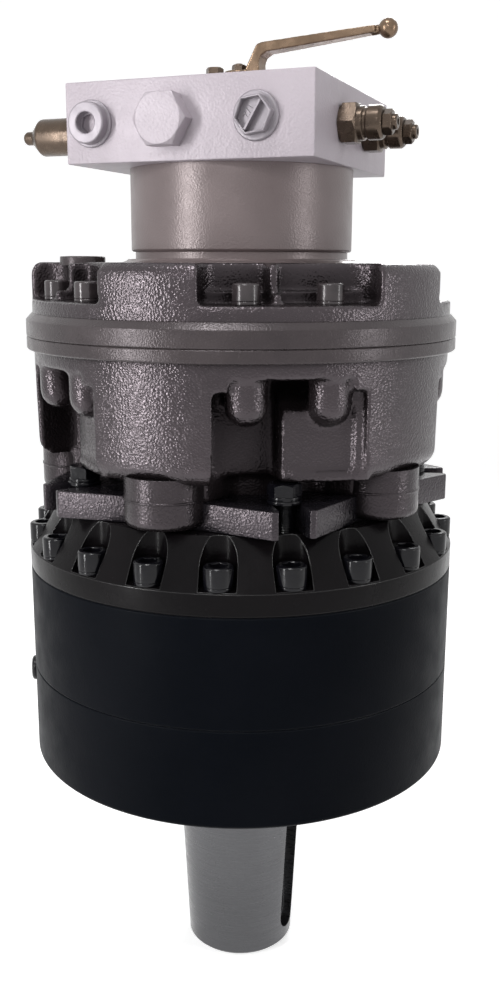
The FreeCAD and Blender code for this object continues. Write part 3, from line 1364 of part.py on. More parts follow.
# Lever valve: ball and spindle, gland, lever with its ball end, and nut
lever_floor = gland_proud + lever_lift - 3
hub_top = lever_floor + lever_hub_height
gland = new_body("spindle_gland")
revolve(gland, [
    (spindle_radius + fit_gap, -gland_height),
    (gland_radius, -gland_height),
    (gland_radius, gland_proud),
    (spindle_radius + fit_gap, gland_proud),
])
seat(gland, spindle_along, spindle_across, block_top, UPRIGHT)
ball_drop = block_height - valve_level
spindle = new_body("valve_spindle")
revolve(spindle, [
    (0, -ball_drop - ball_radius),
    (ball_radius * 0.5, -ball_drop - ball_radius * 0.866),
    (ball_radius * 0.866, -ball_drop - ball_radius * 0.5),
    (ball_radius, -ball_drop),
    (ball_radius * 0.866, -ball_drop + ball_radius * 0.5),
    (spindle_radius, -ball_drop + ball_radius * 0.86),
    (spindle_radius, lever_floor),
    (spindle_radius * 0.4, lever_floor),
    (spindle_radius * 0.4, hub_top + lever_nut_height),
    (0, hub_top + lever_nut_height),
])
ball_port = new_sketch(spindle, "YZ_Plane", ball_radius + 1)
draw_circle(ball_port, 0, -ball_drop, ball_radius * 0.5)
pocket(spindle, ball_port, ball_radius * 2 + 2)
seat(spindle, spindle_along, spindle_across, block_top, UPRIGHT)

lever = new_body("lever")
plan_sketch = new_sketch(lever, "XY_Plane", lever_floor)
draw_outline(plan_sketch, [
    (0, -lever_width / 2),
    (lever_bend, -lever_width / 2),
    (lever_reach, -lever_tip_width / 2),
    (lever_reach, lever_tip_width / 2),
    (lever_bend, lever_width / 2),
    (0, lever_width / 2),
])
pad(lever, plan_sketch, lever_rise)
over_sketch = new_sketch(lever, "XZ_Plane", lever_width)
draw_outline(over_sketch, [
    (-1, hub_top),
    (lever_nut_flats * 0.66, hub_top),
    (lever_bend - 1.6, lever_bend_rise),
    (lever_bend + 1.5, lever_bend_rise + 0.9),
    (lever_reach + 1, lever_rise + lever_thick * 0.36),
    (lever_reach + 1, lever_rise + 8),
    (-1, lever_rise + 8),
])
pocket(lever, over_sketch, lever_width * 2)
under_sketch = new_sketch(lever, "XZ_Plane", lever_width)
draw_outline(under_sketch, [
    (lever_bend + 2, lever_floor - 1),
    (lever_bend + 1, hub_top),
    (lever_bend + 0.5, hub_top + 7),
    (lever_bend + 5.5, lever_bend_rise - lever_thick + 0.9),
    (lever_reach + 1, lever_rise - lever_thick * 0.4),
    (lever_reach + 1, lever_floor - 1),
])
pocket(lever, under_sketch, lever_width * 2)
hub_sketch = new_sketch(lever, "XY_Plane", lever_floor)
draw_circle(hub_sketch, 0, 0, lever_hub_radius)
pad(lever, hub_sketch, lever_hub_height)
knob_sketch = new_sketch(lever, "XZ_Plane", 0)
ball_arc = Part.Circle(FreeCAD.Vector(lever_reach.number, lever_rise.number, 0), FreeCAD.Vector(0, 0, 1),
                       knob_radius.number)
dome = knob_sketch.addGeometry(Part.ArcOfCircle(ball_arc, -math.pi / 2, math.pi / 2), False)
chord = knob_sketch.addGeometry(Part.LineSegment(
    FreeCAD.Vector(lever_reach.number, (lever_rise + knob_radius).number, 0),
    FreeCAD.Vector(lever_reach.number, (lever_rise - knob_radius).number, 0)), False)
knob_sketch.addConstraint(Sketcher.Constraint("Coincident", dome, 2, chord, 1))
knob_sketch.addConstraint(Sketcher.Constraint("Coincident", dome, 1, chord, 2))
knob_sketch.addConstraint(Sketcher.Constraint("PointOnObject", dome, 3, chord))
pin_point(knob_sketch, chord, 1, lever_reach, lever_rise + knob_radius)
pin_point(knob_sketch, chord, 2, lever_reach, lever_rise - knob_radius)
knob = lever.newObject("PartDesign::Revolution", "lever_knob")
knob.Profile = knob_sketch
knob.ReferenceAxis = (knob_sketch, ["Edge2"])
knob.Angle = 360
hub_bore = new_sketch(lever, "XY_Plane", hub_top)
draw_circle(hub_bore, 0, 0, spindle_radius * 0.4 + press_gap)
pocket(lever, hub_bore, lever_hub_height)
seat(lever, spindle_along, spindle_across, block_top, UPRIGHT)

lever_nut = new_body("lever_nut")
nut_sketch = new_sketch(lever_nut, "XY_Plane", hub_top)
draw_hexagon(nut_sketch, as_size(0), as_size(0), lever_nut_flats, 15)
draw_circle(nut_sketch, 0, 0, spindle_radius * 0.4 + press_gap)
pad(lever_nut, nut_sketch, lever_nut_height - 1)
seat(lever_nut, spindle_along, spindle_across, block_top, UPRIGHT)

doc.recompute()

faults = []
for item in doc.Objects:
    if "Invalid" in item.State or "Error" in item.State:
        faults.append("%s (%s): %s" % (item.Name, item.Label, item.State))
for item in subparts:
    if item.Shape.isNull() or not item.Shape.isValid() or not item.Shape.Solids:
        faults.append("%s has no valid solid" % item.Label)
if faults:
    raise RuntimeError("; ".join(faults))

for item in subparts:
    item.Shape.exportStep("parts/%s.step" % item.Label)
print("%d sub-parts written" % len(subparts))
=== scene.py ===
import bpy
import bmesh
import math
from mathutils import Matrix, Vector


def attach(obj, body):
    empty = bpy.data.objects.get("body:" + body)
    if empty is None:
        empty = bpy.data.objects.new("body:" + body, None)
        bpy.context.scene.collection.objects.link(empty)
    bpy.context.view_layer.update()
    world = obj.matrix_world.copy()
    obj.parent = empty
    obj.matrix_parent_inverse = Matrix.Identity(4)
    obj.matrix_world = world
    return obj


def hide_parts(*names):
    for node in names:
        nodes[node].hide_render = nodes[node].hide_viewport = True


# A hydraulic drive motor: a black planetary gear case with its tapered shaft below,
# a five-lobed cast motor bolted on it, and a pale valve block with a lever on top.
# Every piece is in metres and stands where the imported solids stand. Outlines are written
# in millimetres, as (radius, height) or (x, y), and a third number rounds that corner.

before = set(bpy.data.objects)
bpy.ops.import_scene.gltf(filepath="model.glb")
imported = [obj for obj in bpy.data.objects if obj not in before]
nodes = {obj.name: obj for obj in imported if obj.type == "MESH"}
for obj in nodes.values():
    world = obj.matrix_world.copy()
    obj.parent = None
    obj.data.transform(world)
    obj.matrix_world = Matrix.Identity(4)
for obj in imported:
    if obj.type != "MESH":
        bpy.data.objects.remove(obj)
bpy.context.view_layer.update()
scene = bpy.context.scene
MM = 0.001

CASE = 145
LOW_SEAM = 63.8
HIGH_SEAM = 133.8
FRAME_HOLES = 12
FRAME_HOLE_CIRCLE = 122
COVER_SCREWS = 20
COVER_SCREW_CIRCLE = 136
COVER_SCREW_TURN = -5.5
COVER_SINK = 148.8

LOBES = 5
LOBE_TURN = 12.7
HALF_LOBE = 36
FOOT_TOP = 195
FOOT_BOLT_CIRCLE = 116
COLUMN_CIRCLE = 114
FLANGE = 142.2
HOUSING_SPLIT = 286.5
JOINT_SCREW_CIRCLE = 123
JOINT_SCREW_SPREAD = 11.5

BLOCK_TURN = -22.2
BLOCK_LEFT = -84.4
BLOCK_RIGHT = 75.6
BLOCK_FRONT = 77.5
BLOCK_LOW = 391.5
BLOCK_TOP = 439
BLOCK_SCREWS = [(along, back) for along in (-22, 22) for back in (-53, 53)]
FITTING_LEVEL = 414.6
LEVER_ALONG = 5
LEVER_ACROSS = 17


# ---------------------------------------------------------------- camera

def photo_camera():
    yaw, pitch, roll = 0.00862315, 0.21947201, 0.00397228
    focal_pixels, picture_pixels, sensor = 1053.912, 998.0, 36.0
    flat = Vector((math.sin(yaw), math.cos(yaw), 0))
    side = Vector((math.cos(yaw), -math.sin(yaw), 0))
    ahead = flat * math.cos(pitch) - Vector((0, 0, math.sin(pitch)))
    over = flat * math.sin(pitch) + Vector((0, 0, math.cos(pitch)))
    right = side * math.cos(roll) + over * math.sin(roll)
    up = over * math.cos(roll) - side * math.sin(roll)
    data = bpy.data.cameras.new("photo_camera")
    data.sensor_fit = "AUTO"
    data.sensor_width = sensor
    data.lens = focal_pixels / picture_pixels * sensor
    data.clip_start = 0.01
    data.clip_end = 50
    camera = bpy.data.objects.new("photo_camera", data)
    turn = Matrix((right, up, -ahead)).transposed().to_4x4()
    camera.matrix_world = Matrix.Translation((0, -0.719174, 0.332337)) @ turn
    scene.collection.objects.link(camera)
    scene.camera = camera


# ---------------------------------------------------------------- materials

class Paint:
    """Small helper that adds and joins shader nodes of one material."""

    def __init__(self, name, colour, roughness, metallic, specular):
        self.material = bpy.data.materials.new(name)
        self.material.use_nodes = True
        self.tree = self.material.node_tree
        self.shader = self.tree.nodes["Principled BSDF"]
        self.set(self.shader, "Base Color", (*colour, 1))
        self.set(self.shader, "Roughness", roughness)
        self.set(self.shader, "Metallic", metallic)
        self.set(self.shader, "Specular IOR Level", specular)
        self.place = self.add("ShaderNodeTexCoord").outputs["Object"]
        self.relief = None

    def add(self, kind, **sockets):
        node = self.tree.nodes.new(kind)
        for name, value in sockets.items():
            self.set(node, name, value)
        return node

    def set(self, node, name, value):
        if isinstance(value, bpy.types.NodeSocket):
            self.tree.links.new(value, node.inputs[name])
        else:
            node.inputs[name].default_value = value

    def stretch(self, amounts):
        """Object coordinates drawn out along some axes."""
        node = self.add("ShaderNodeMapping", Vector=self.place)
        node.inputs["Scale"].default_value = amounts
        return node.outputs["Vector"]

    def noise(self, scale, detail, rough=0.5, place=None):
        node = self.add("ShaderNodeTexNoise", Scale=scale, Detail=detail, Roughness=rough)
        self.set(node, "Vector", place or self.place)
        return node.outputs["Fac"]

    def cells(self, scale, smooth):
        """Rounded pebbles that touch each other."""
        node = self.tree.nodes.new("ShaderNodeTexVoronoi")
        node.feature = "SMOOTH_F1"
        self.set(node, "Scale", scale)
        self.set(node, "Smoothness", smooth)
        self.set(node, "Vector", self.place)
        return node.outputs["Distance"]

    def ramp(self, value, low, high, first=0.0, last=1.0):
        node = self.add("ShaderNodeMapRange", Value=value)
        self.set(node, "From Min", low)
        self.set(node, "From Max", high)
        self.set(node, "To Min", first)
        self.set(node, "To Max", last)
        return node.outputs["Result"]

    def mix(self, factor, first, last):
        node = self.tree.nodes.new("ShaderNodeMix")
        node.data_type = "RGBA"
        self.tree.links.new(factor, node.inputs[0])
        for socket, colour in ((6, first), (7, last)):
            node.inputs[socket].default_value = (*colour, 1)
        return node.outputs[2]

    def mottle(self, scale, detail, dark, pale, low=0.3, high=0.75):
        """A colour that drifts between two close tones."""
        drift = self.ramp(self.noise(scale, detail), low, high)
        self.set(self.shader, "Base Color", self.mix(drift, dark, pale))

    def polish(self, scale, detail, least, most):
        """A roughness that drifts between two values."""
        self.set(self.shader, "Roughness", self.ramp(self.noise(scale, detail), 0.3, 0.7, least, most))

    def paint_recess_shade(self, reach, gloss):
        """Painted shade: full gloss in the open, and little of it in recesses that are as deep as the reach, so
        the recesses reflect less and look darker.
        """
        node = self.add("ShaderNodeAmbientOcclusion", Distance=reach)
        node.samples = 6
        level = self.ramp(node.outputs["AO"], 0.45, 0.9, 0.16 * gloss, gloss)
        self.set(self.shader, "Specular IOR Level", level)

    def paint_edge_highlights(self, radius, low, high, gloss):
        """Painted highlight: low gloss on flat surfaces, which rises to full where an edge of this radius rounds
        over, so the edges glint as thin bright lines.
        """
        soft = self.add("ShaderNodeBevel", Radius=radius)
        soft.samples = 4
        flat = self.tree.nodes.new("ShaderNodeNewGeometry")
        meet = self.tree.nodes.new("ShaderNodeVectorMath")
        meet.operation = "DOT_PRODUCT"
        self.tree.links.new(soft.outputs["Normal"], meet.inputs[0])
        self.tree.links.new(flat.outputs["Normal"], meet.inputs[1])
        self.set(self.shader, "Specular IOR Level", self.ramp(meet.outputs["Value"], high, low, gloss, 1.0))

    def bump(self, height, distance, strength, edge=0.0):
        """Adds relief in metres; edge rounds the shading of sharp corners by that radius."""
        node = self.add("ShaderNodeBump", Strength=strength, Distance=distance, Height=height)
        if self.relief is not None:
            self.set(node, "Normal", self.relief)
        elif edge:
            round_off = self.add("ShaderNodeBevel", Radius=edge)
            round_off.samples = 6
            self.set(node, "Normal", round_off.outputs["Normal"])
        self.relief = node.outputs["Normal"]
        self.set(self.shader, "Normal", self.relief)


def cast_relief(m, coarse, fine, gloss, edge=0.0):
    """The pebbled skin of a sand casting under thick gloss paint, with painted shade that lowers the gloss in its
    recesses.
    """
    # painted shade: the gloss falls in recesses, so they render darker
    m.paint_recess_shade(0.09, gloss)
    m.set(m.shader, "Specular Tint", (1.0, 0.87, 0.94, 1))
    m.bump(m.noise(150, 2), 0.0006, 0.25, edge=edge)
    m.bump(m.cells(740, 0.6), coarse, 1.0)
    m.bump(m.noise(1300, 1), fine, 0.8)


def rough_casting_paint():
    m = Paint("rough_casting_paint", (0.016, 0.013, 0.014), 0.2, 0.0, 0.7)
    m.mottle(22, 3, (0.008, 0.0062, 0.0068), (0.020, 0.0155, 0.017), 0.35, 0.7)
    m.polish(160, 2, 0.16, 0.28)
    cast_relief(m, 0.00029, 0.00006, 0.75)
    return m.material


def foot_paint():
    m = Paint("foot_paint", (0.014, 0.013, 0.015), 0.24, 0.0, 0.4)
    m.mottle(30, 3, (0.006, 0.0055, 0.007), (0.015, 0.013, 0.016), 0.35, 0.7)
    m.polish(160, 2, 0.18, 0.32)
    cast_relief(m, 0.00026, 0.00006, 0.6)
    return m.material


def column_paint():
    m = Paint("column_paint", (0.014, 0.012, 0.013), 0.24, 0.0, 0.4)
    m.mottle(30, 3, (0.006, 0.005, 0.0055), (0.015, 0.012, 0.013), 0.35, 0.7)
    m.polish(120, 2, 0.18, 0.32)
    cast_relief(m, 0.00022, 0.00005, 0.6, edge=0.0006)
    return m.material


def smooth_casting_paint():
    m = Paint("smooth_casting_paint", (0.05, 0.042, 0.044), 0.28, 0.0, 0.5)
    m.mottle(30, 3, (0.026, 0.021, 0.022), (0.044, 0.036, 0.037), 0.3, 0.7)
    m.polish(90, 2, 0.22, 0.34)
    m.set(m.shader, "Specular Tint", (1.0, 0.9, 0.94, 1))
    m.bump(m.cells(950, 0.5), 0.00016, 0.7, edge=0.0007)
    m.bump(m.noise(1500, 1), 0.0001, 0.6)
    return m.material


def gear_case_paint():
    m = Paint("gear_case_paint", (0.002, 0.003, 0.005), 0.42, 0.0, 0.03)
    m.mottle(14, 4, (0.0014, 0.0022, 0.0040), (0.0032, 0.0040, 0.0062))
    m.polish(60, 3, 0.36, 0.48)
    # painted highlight: thin bright lines along the rounded edges and seams
    m.paint_edge_highlights(0.0006, 0.90, 0.99, 0.03)
    m.bump(m.cells(900, 1.0), 0.00016, 0.35, edge=0.0006)
    m.bump(m.noise(260, 2), 0.00015, 0.4)
    return m.material


def gear_cone_paint():
    m = Paint("gear_cone_paint", (0.004, 0.003, 0.004), 0.24, 0.0, 0.09)
    m.mottle(18, 4, (0.0026, 0.0021, 0.0026), (0.0056, 0.0045, 0.0052))
    m.polish(70, 3, 0.18, 0.30)
    # painted highlight: thin bright lines along the scallops' rounded edges
    m.paint_edge_highlights(0.0008, 0.86, 0.985, 0.09)
    m.bump(m.cells(800, 1.0), 0.00014, 0.3, edge=0.0009)
    m.bump(m.noise(240, 2), 0.00015, 0.4)
    return m.material


def neck_coat():
    m = Paint("neck_coat", (0.19, 0.15, 0.15), 0.34, 0.25, 0.5)
    m.mottle(16, 4, (0.165, 0.130, 0.130), (0.215, 0.175, 0.175))
    m.polish(80, 2, 0.28, 0.38)
    m.bump(m.noise(30, 2, place=m.stretch((1, 1, 60))), 0.00004, 0.5, edge=0.0005)
    m.bump(m.cells(950, 0.5), 0.00014, 0.7)
    return m.material


def block_coat():
    m = Paint("block_coat", (0.48, 0.43, 0.47), 0.44, 0.1, 0.5)
    m.mottle(12, 4, (0.430, 0.380, 0.420), (0.500, 0.446, 0.490))
    m.polish(70, 3, 0.38, 0.48)
    m.bump(m.cells(620, 0.7), 0.0003, 0.6, edge=0.0008)
    m.bump(m.noise(1200, 1), 0.0002, 0.5)
    return m.material


def fitting_coat():
    m = Paint("fitting_coat", (0.33, 0.30, 0.33), 0.38, 0.2, 0.5)
    m.mottle(60, 3, (0.29, 0.26, 0.29), (0.37, 0.335, 0.37))
    m.polish(140, 3, 0.32, 0.44)
    m.bump(m.noise(560, 2), 0.0002, 0.5, edge=0.0004)
    return m.material


def dark_fitting_metal():
    m = Paint("dark_fitting_metal", (0.095, 0.068, 0.05), 0.28, 0.7, 0.5)
    m.mottle(90, 3, (0.070, 0.050, 0.037), (0.125, 0.090, 0.066))
    m.polish(160, 3, 0.2, 0.34)
    m.bump(m.noise(600, 2), 0.0001, 0.35, edge=0.0004)
    return m.material


def lever_metal():
    m = Paint("lever_metal", (0.18, 0.12, 0.08), 0.26, 0.75, 0.5)
    m.mottle(80, 3, (0.140, 0.093, 0.060), (0.220, 0.150, 0.100))
    m.polish(130, 3, 0.18, 0.32)
    m.bump(m.noise(420, 2), 0.00015, 0.4, edge=0.0005)
    return m.material


def port_plug_metal():
    m = Paint("port_plug_metal", (0.30, 0.275, 0.30), 0.36, 0.3, 0.5)
    m.mottle(90, 3, (0.26, 0.235, 0.26), (0.35, 0.32, 0.35))
    m.polish(200, 3, 0.30, 0.42)
    m.bump(m.noise(700, 2), 0.0001, 0.4, edge=0.0003)
    return m.material


def screw_paint():
    m = Paint("screw_paint", (0.004, 0.004, 0.006), 0.15, 0.0, 0.3)
    m.mottle(90, 3, (0.0030, 0.0030, 0.0046), (0.0070, 0.0066, 0.0088))
    m.polish(160, 3, 0.10, 0.20)
    m.bump(m.noise(380, 2), 0.0002, 0.4, edge=0.0005)
    return m.material


def joint_screw_paint():
    m = Paint("joint_screw_paint", (0.055, 0.045, 0.047), 0.22, 0.2, 0.6)
    m.mottle(90, 3, (0.030, 0.024, 0.026), (0.058, 0.047, 0.050))
    m.polish(160, 3, 0.16, 0.28)
    m.bump(m.noise(420, 2), 0.0002, 0.4, edge=0.0005)
    return m.material


def shaft_metal():
    """Turned steel with fine rings round it."""
    m = Paint("shaft_metal", (0.14, 0.14, 0.145), 0.28, 1.0, 0.5)
    rings = m.noise(40, 3, 0.6, place=m.stretch((0.6, 0.6, 60)))
    m.set(m.shader, "Base Color", m.mix(m.ramp(rings, 0.3, 0.7), (0.104, 0.104, 0.109), (0.124, 0.124, 0.129)))
    bands = m.noise(50, 3, place=m.stretch((1, 1, 12)))
    m.set(m.shader, "Roughness", m.ramp(bands, 0.3, 0.7, 0.22, 0.36))
    m.bump(m.noise(60, 2, place=m.stretch((0.5, 0.5, 90))), 0.00001, 0.4, edge=0.0005)
    return m.material


def inner_steel():
    m = Paint("inner_steel", (0.42, 0.42, 0.43), 0.26, 1.0, 0.5)
    m.mottle(60, 3, (0.36, 0.36, 0.37), (0.48, 0.48, 0.49))
    m.polish(140, 3, 0.2, 0.34)
    m.bump(m.noise(500, 2), 0.00008, 0.4, edge=0.0004)
    return m.material


def lip_seal_rubber():
    m = Paint("lip_seal_rubber", (0.02, 0.02, 0.02), 0.6, 0.0, 0.4)
    m.polish(300, 3, 0.5, 0.7)
    m.bump(m.noise(700, 2), 0.0001, 0.4, edge=0.0004)
    return m.material


def seen_rays(tree):
    """One for what the camera sees, also in a reflection or through glass; zero for soft light."""
    path = tree.nodes.new("ShaderNodeLightPath")
    seen = path.outputs["Is Camera Ray"]
    for ray in ("Is Glossy Ray", "Is Transmission Ray"):
        either = tree.nodes.new("ShaderNodeMath")
        either.operation = "MAXIMUM"
        tree.links.new(seen, either.inputs[0])
        tree.links.new(path.outputs[ray], either.inputs[1])
        seen = either.outputs["Value"]
    return seen


def cyclorama_coat():
    seen_glow = 0.62
    m = Paint("cyclorama_coat", (0.86, 0.86, 0.86), 0.9, 0.0, 0.1)
    m.set(m.shader, "Emission Color", (1, 1, 1, 1))
    m.set(m.shader, "Emission Strength", m.ramp(seen_rays(m.tree), 0.0, 1.0, 0.0, seen_glow))
    return m.material


# ---------------------------------------------------------------- shapes

def spin(degrees, axis="Z"):
    return Matrix.Rotation(math.radians(degrees), 4, axis)


def shift(x, y, z):
    return Matrix.Translation((x * MM, y * MM, z * MM))


def azimuth_turn(azimuth):
    """Turns a shape made along +X to an azimuth, which is counted from -Y towards +X."""
    return spin(azimuth - 90)


def moved(mesh, matrix):
    mesh.transform(matrix)
    return mesh


def soft_corners(outline):
    """The points of an outline, with a short curve at each corner that has a rounding."""
    steps = 5
    share_of_side = 0.48
    made = []
    for i, (x, y, *rounding) in enumerate(outline):
        corner = Vector((x, y))
        if not rounding:
            made.append(corner)
            continue
        back = Vector(outline[i - 1][:2]) - corner
        ahead = Vector(outline[(i + 1) % len(outline)][:2]) - corner
        size = min(rounding[0], back.length * share_of_side, ahead.length * share_of_side)
        a, b = corner + back.normalized() * size, corner + ahead.normalized() * size
        for k in range(steps + 1):
            t = k / steps
            made.append(a * (1 - t) ** 2 + corner * 2 * t * (1 - t) + b * t ** 2)
    return made


def tidy(mesh, sharp):
    """Merges doubled points, turns faces outwards and shades all but the sharp edges smooth."""
    work = bmesh.new()
    work.from_mesh(mesh)
    bmesh.ops.remove_doubles(work, verts=work.verts, dist=1e-6)
    bmesh.ops.recalc_face_normals(work, faces=work.faces)
    work.to_mesh(mesh)
    work.free()
    for face in mesh.polygons:
        face.use_smooth = True
    mesh.set_sharp_from_angle(angle=math.radians(sharp))
    return mesh


def mesh_of(name, verts, faces, sharp):
    mesh = bpy.data.meshes.new(name)
    mesh.from_pydata(verts, [], faces)
    return tidy(mesh, sharp)


def turned_mesh(name, outline, steps, centre=(0, 0), sharp=38):
    """Turns a closed outline of (radius, height) round an upright axis."""
    on_axis = 1e-6
    ring = soft_corners(outline)
    count = len(ring)
    verts, faces = [], []
    for s in range(steps):
        a = 2 * math.pi * s / steps
        c, d = math.cos(a), math.sin(a)
        for point in ring:
            verts.append(((centre[0] + point.x * c) * MM, (centre[1] + point.x * d) * MM, point.y * MM))
    for s in range(steps):
        t = (s + 1) % steps
        for i in range(count):
            j = (i + 1) % count
            if ring[i].x < on_axis and ring[j].x < on_axis:
                continue
            faces.append((s * count + i, t * count + i, t * count + j, s * count + j))
    return mesh_of(name, verts, faces, sharp)


def prism_mesh(name, outline, low, high):
    """Pulls a closed flat outline up from one level to another."""
    ring = soft_corners(outline)
    count = len(ring)
    verts = [(p.x * MM, p.y * MM, z * MM) for z in (low, high) for p in ring]
    faces = [tuple(reversed(range(count))), tuple(range(count, 2 * count))]
    faces += [(i, (i + 1) % count, count + (i + 1) % count, count + i) for i in range(count)]
    return mesh_of(name, verts, faces, 30)


def box_mesh(name, low, high):
    x0, y0, z0 = low
    x1, y1, z1 = high
    return prism_mesh(name, [(x0, y0), (x1, y0), (x1, y1), (x0, y1)], z0, z1)


def circle_outline(x, y, radius):
    steps = 48
    return [(x + radius * math.cos(2 * math.pi * k / steps), y + radius * math.sin(2 * math.pi * k / steps))
            for k in range(steps)]


def hexagon(flats, turn=0):
    corner = flats / 2 / math.cos(math.radians(30))
    return [(corner * math.cos(math.radians(60 * k + turn)), corner * math.sin(math.radians(60 * k + turn)))
            for k in range(6)]


def chamfered_hexagon(name, flats, low, high, turn, cut):
    """A hexagon whose upper corners are turned off to a cone, as on bolt heads."""
    steps = 96
    half = flats / 2
    corner = half / math.cos(math.radians(30))
    top = half * 0.97
    verts, faces = [], []
    for k in range(steps):
        local = (360 * k / steps) % 60 - 30
        edge = half / math.cos(math.radians(local))
        drop = (edge - top) / (corner - top) * cut
        a = math.radians(360 * k / steps + turn)
        for r, z in ((edge, low), (edge, high - drop), (top, high), (0.0, high)):
            verts.append((r * math.cos(a) * MM, r * math.sin(a) * MM, z * MM))
    for k in range(steps):
        n = (k + 1) % steps
        for i in range(3):
            faces.append((4 * k + i, 4 * n + i, 4 * n + i + 1, 4 * k + i + 1))
    faces.append(tuple(4 * k for k in reversed(range(steps))))
    return mesh_of(name, verts, faces, 28)


def joined(name, meshes):
    work = bmesh.new()
    for mesh in meshes:
        work.from_mesh(mesh)
    made = bpy.data.meshes.new(name)
    work.to_mesh(made)
    work.free()
    return made


def modified(name, mesh, add_modifiers):
    """Runs modifiers on a mesh and returns the plain result."""
    holder = bpy.data.objects.new(name + "_work", mesh)
    scene.collection.objects.link(holder)
    helpers = add_modifiers(holder) or []
    bpy.context.view_layer.update()
    ready = holder.evaluated_get(bpy.context.evaluated_depsgraph_get())
    made = bpy.data.meshes.new_from_object(ready)
    made.name = name
    holder.modifiers.clear()
    for item in [holder] + helpers:
        bpy.data.objects.remove(item)
    return made


def carved(name, mesh, cutter):
    def add(holder):
        tool = bpy.data.objects.new(name + "_cutter", cutter)
        scene.collection.objects.link(tool)
        step = holder.modifiers.new("carve", "BOOLEAN")
        step.operation = "DIFFERENCE"
        step.solver = "EXACT"
        step.use_self = True
        step.object = tool
        return [tool]
    return modified(name, mesh, add)


def bevelled(name, mesh, width, segments):
    def add(holder):
        step = holder.modifiers.new("edges", "BEVEL")
        step.width = width
        step.segments = segments
        step.limit_method = "ANGLE"
        step.angle_limit = math.radians(30)
    return tidy(modified(name, mesh, add), 50)


def cast_skin(name, mesh, voxel, rounds, share):
    """Joins overlapping solids into one softly rounded skin and keeps a share of its faces."""
    def soften(holder):
        step = holder.modifiers.new("skin", "REMESH")
        step.mode = "VOXEL"
        step.voxel_size = voxel
        step.use_smooth_shade = True
        step = holder.modifiers.new("soften", "SMOOTH")
        step.factor = 0.5
        step.iterations = rounds

    def thin(holder):
        step = holder.modifiers.new("thin", "DECIMATE")
        step.ratio = share
    made = modified(name, modified(name, mesh, soften), thin)
    for face in made.polygons:
        face.use_smooth = True
    return made


def repeated_round_axis(name, seed, count, degrees, coat):
    """Copies a shape round the common axis with a node tree and returns the plain mesh."""
    tree = bpy.data.node_groups.new(name + "_tree", "GeometryNodeTree")
    face = tree.interface
    face.new_socket(name="Geometry", in_out="INPUT", socket_type="NodeSocketGeometry")
    how_many = face.new_socket(name="Count", in_out="INPUT", socket_type="NodeSocketInt")
    start = face.new_socket(name="First Angle", in_out="INPUT", socket_type="NodeSocketFloat")
    finish = face.new_socket(name="Finish", in_out="INPUT", socket_type="NodeSocketMaterial")
    face.new_socket(name="Geometry", in_out="OUTPUT", socket_type="NodeSocketGeometry")
    add, link = tree.nodes.new, tree.links.new
    inlet, outlet = add("NodeGroupInput"), add("NodeGroupOutput")
    points = add("GeometryNodePoints")
    link(inlet.outputs["Count"], points.inputs["Count"])
    points.inputs["Radius"].default_value = 0.001
    pitch = add("ShaderNodeMath")
    pitch.operation = "DIVIDE"
    pitch.inputs[0].default_value = 2 * math.pi
    link(inlet.outputs["Count"], pitch.inputs[1])
    angle = add("ShaderNodeMath")
    angle.operation = "MULTIPLY_ADD"
    link(add("GeometryNodeInputIndex").outputs["Index"], angle.inputs[0])
    link(pitch.outputs[0], angle.inputs[1])
    link(inlet.outputs["First Angle"], angle.inputs[2])
    turn = add("ShaderNodeCombineXYZ")
    link(angle.outputs[0], turn.inputs["Z"])
    copy = add("GeometryNodeInstanceOnPoints")
    link(points.outputs[0], copy.inputs["Points"])
    link(inlet.outputs["Geometry"], copy.inputs["Instance"])
    link(turn.outputs["Vector"], copy.inputs["Rotation"])
    real = add("GeometryNodeRealizeInstances")
    link(copy.outputs["Instances"], real.inputs["Geometry"])
    coating = add("GeometryNodeSetMaterial")
    link(real.outputs["Geometry"], coating.inputs["Geometry"])
    link(inlet.outputs["Finish"], coating.inputs["Material"])
    link(coating.outputs["Geometry"], outlet.inputs["Geometry"])

    def use(holder):
        step = holder.modifiers.new("copies", "NODES")
        step.node_group = tree
        step[how_many.identifier] = count
        step[start.identifier] = math.radians(degrees)
        step[finish.identifier] = coat
    return modified(name, seed, use)


def add_piece(name, mesh, coat, body, slot, *replaced):
    """Shows a mesh as a piece that rides on a body, in place of any nodes that are named."""
    mesh.materials.clear()
    mesh.materials.append(coat)
    piece = bpy.data.objects.new(name, mesh)
    scene.collection.objects.link(piece)
    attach(piece, body)
    if replaced:
        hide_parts(*replaced)


def add_ring_of_pieces(name, seed, count, azimuth, coat, slot, *replaced):
    """Adds copies of a shape made along +X, the first of them at this azimuth, as one piece."""
    mesh = repeated_round_axis(name, seed, count, azimuth - 90, coat)
    add_piece(name, mesh, coat, "housing", slot, *replaced)


def cap_screw(name, radius, low, high, flats, depth):
    """A socket head with a chamfered rim and a hexagon socket with a lead-in."""
    head = turned_mesh(name, [(0, low), (radius - 0.2, low), (radius, low + 0.3), (radius, high - 0.9, 0.5),
                              (radius - 1.0, high, 0.4), (0, high)], 64)
    lead = turned_mesh(name + "_lead", [(0, high - 0.7), (flats / 2 - 0.1, high - 0.7),
                                        (flats / 2 + 1.0, high + 0.3), (0, high + 0.3)], 48)
    head = carved(name, head, prism_mesh(name + "_socket", hexagon(flats), high - depth, high + 1))
    return tidy(carved(name, head, lead), 30)


# ---------------------------------------------------------------- gear case and shaft

def tooth_spaces():
    """The outline inside the ring gear, one tooth space after another."""
    teeth, module = 51, 4
    tip, pitch, root = 98.4, module * teeth / 2, 107.0
    space = ((tip, 2.25), (pitch, 1.80), (root, 1.15), (root, -1.15), (pitch, -1.80), (tip, -2.25))
    outline = []
    for k in range(teeth):
        for radius, half in space:
            a = math.radians(360 * k / teeth - half)
            outline.append((radius * math.cos(a), radius * math.sin(a)))
    return outline


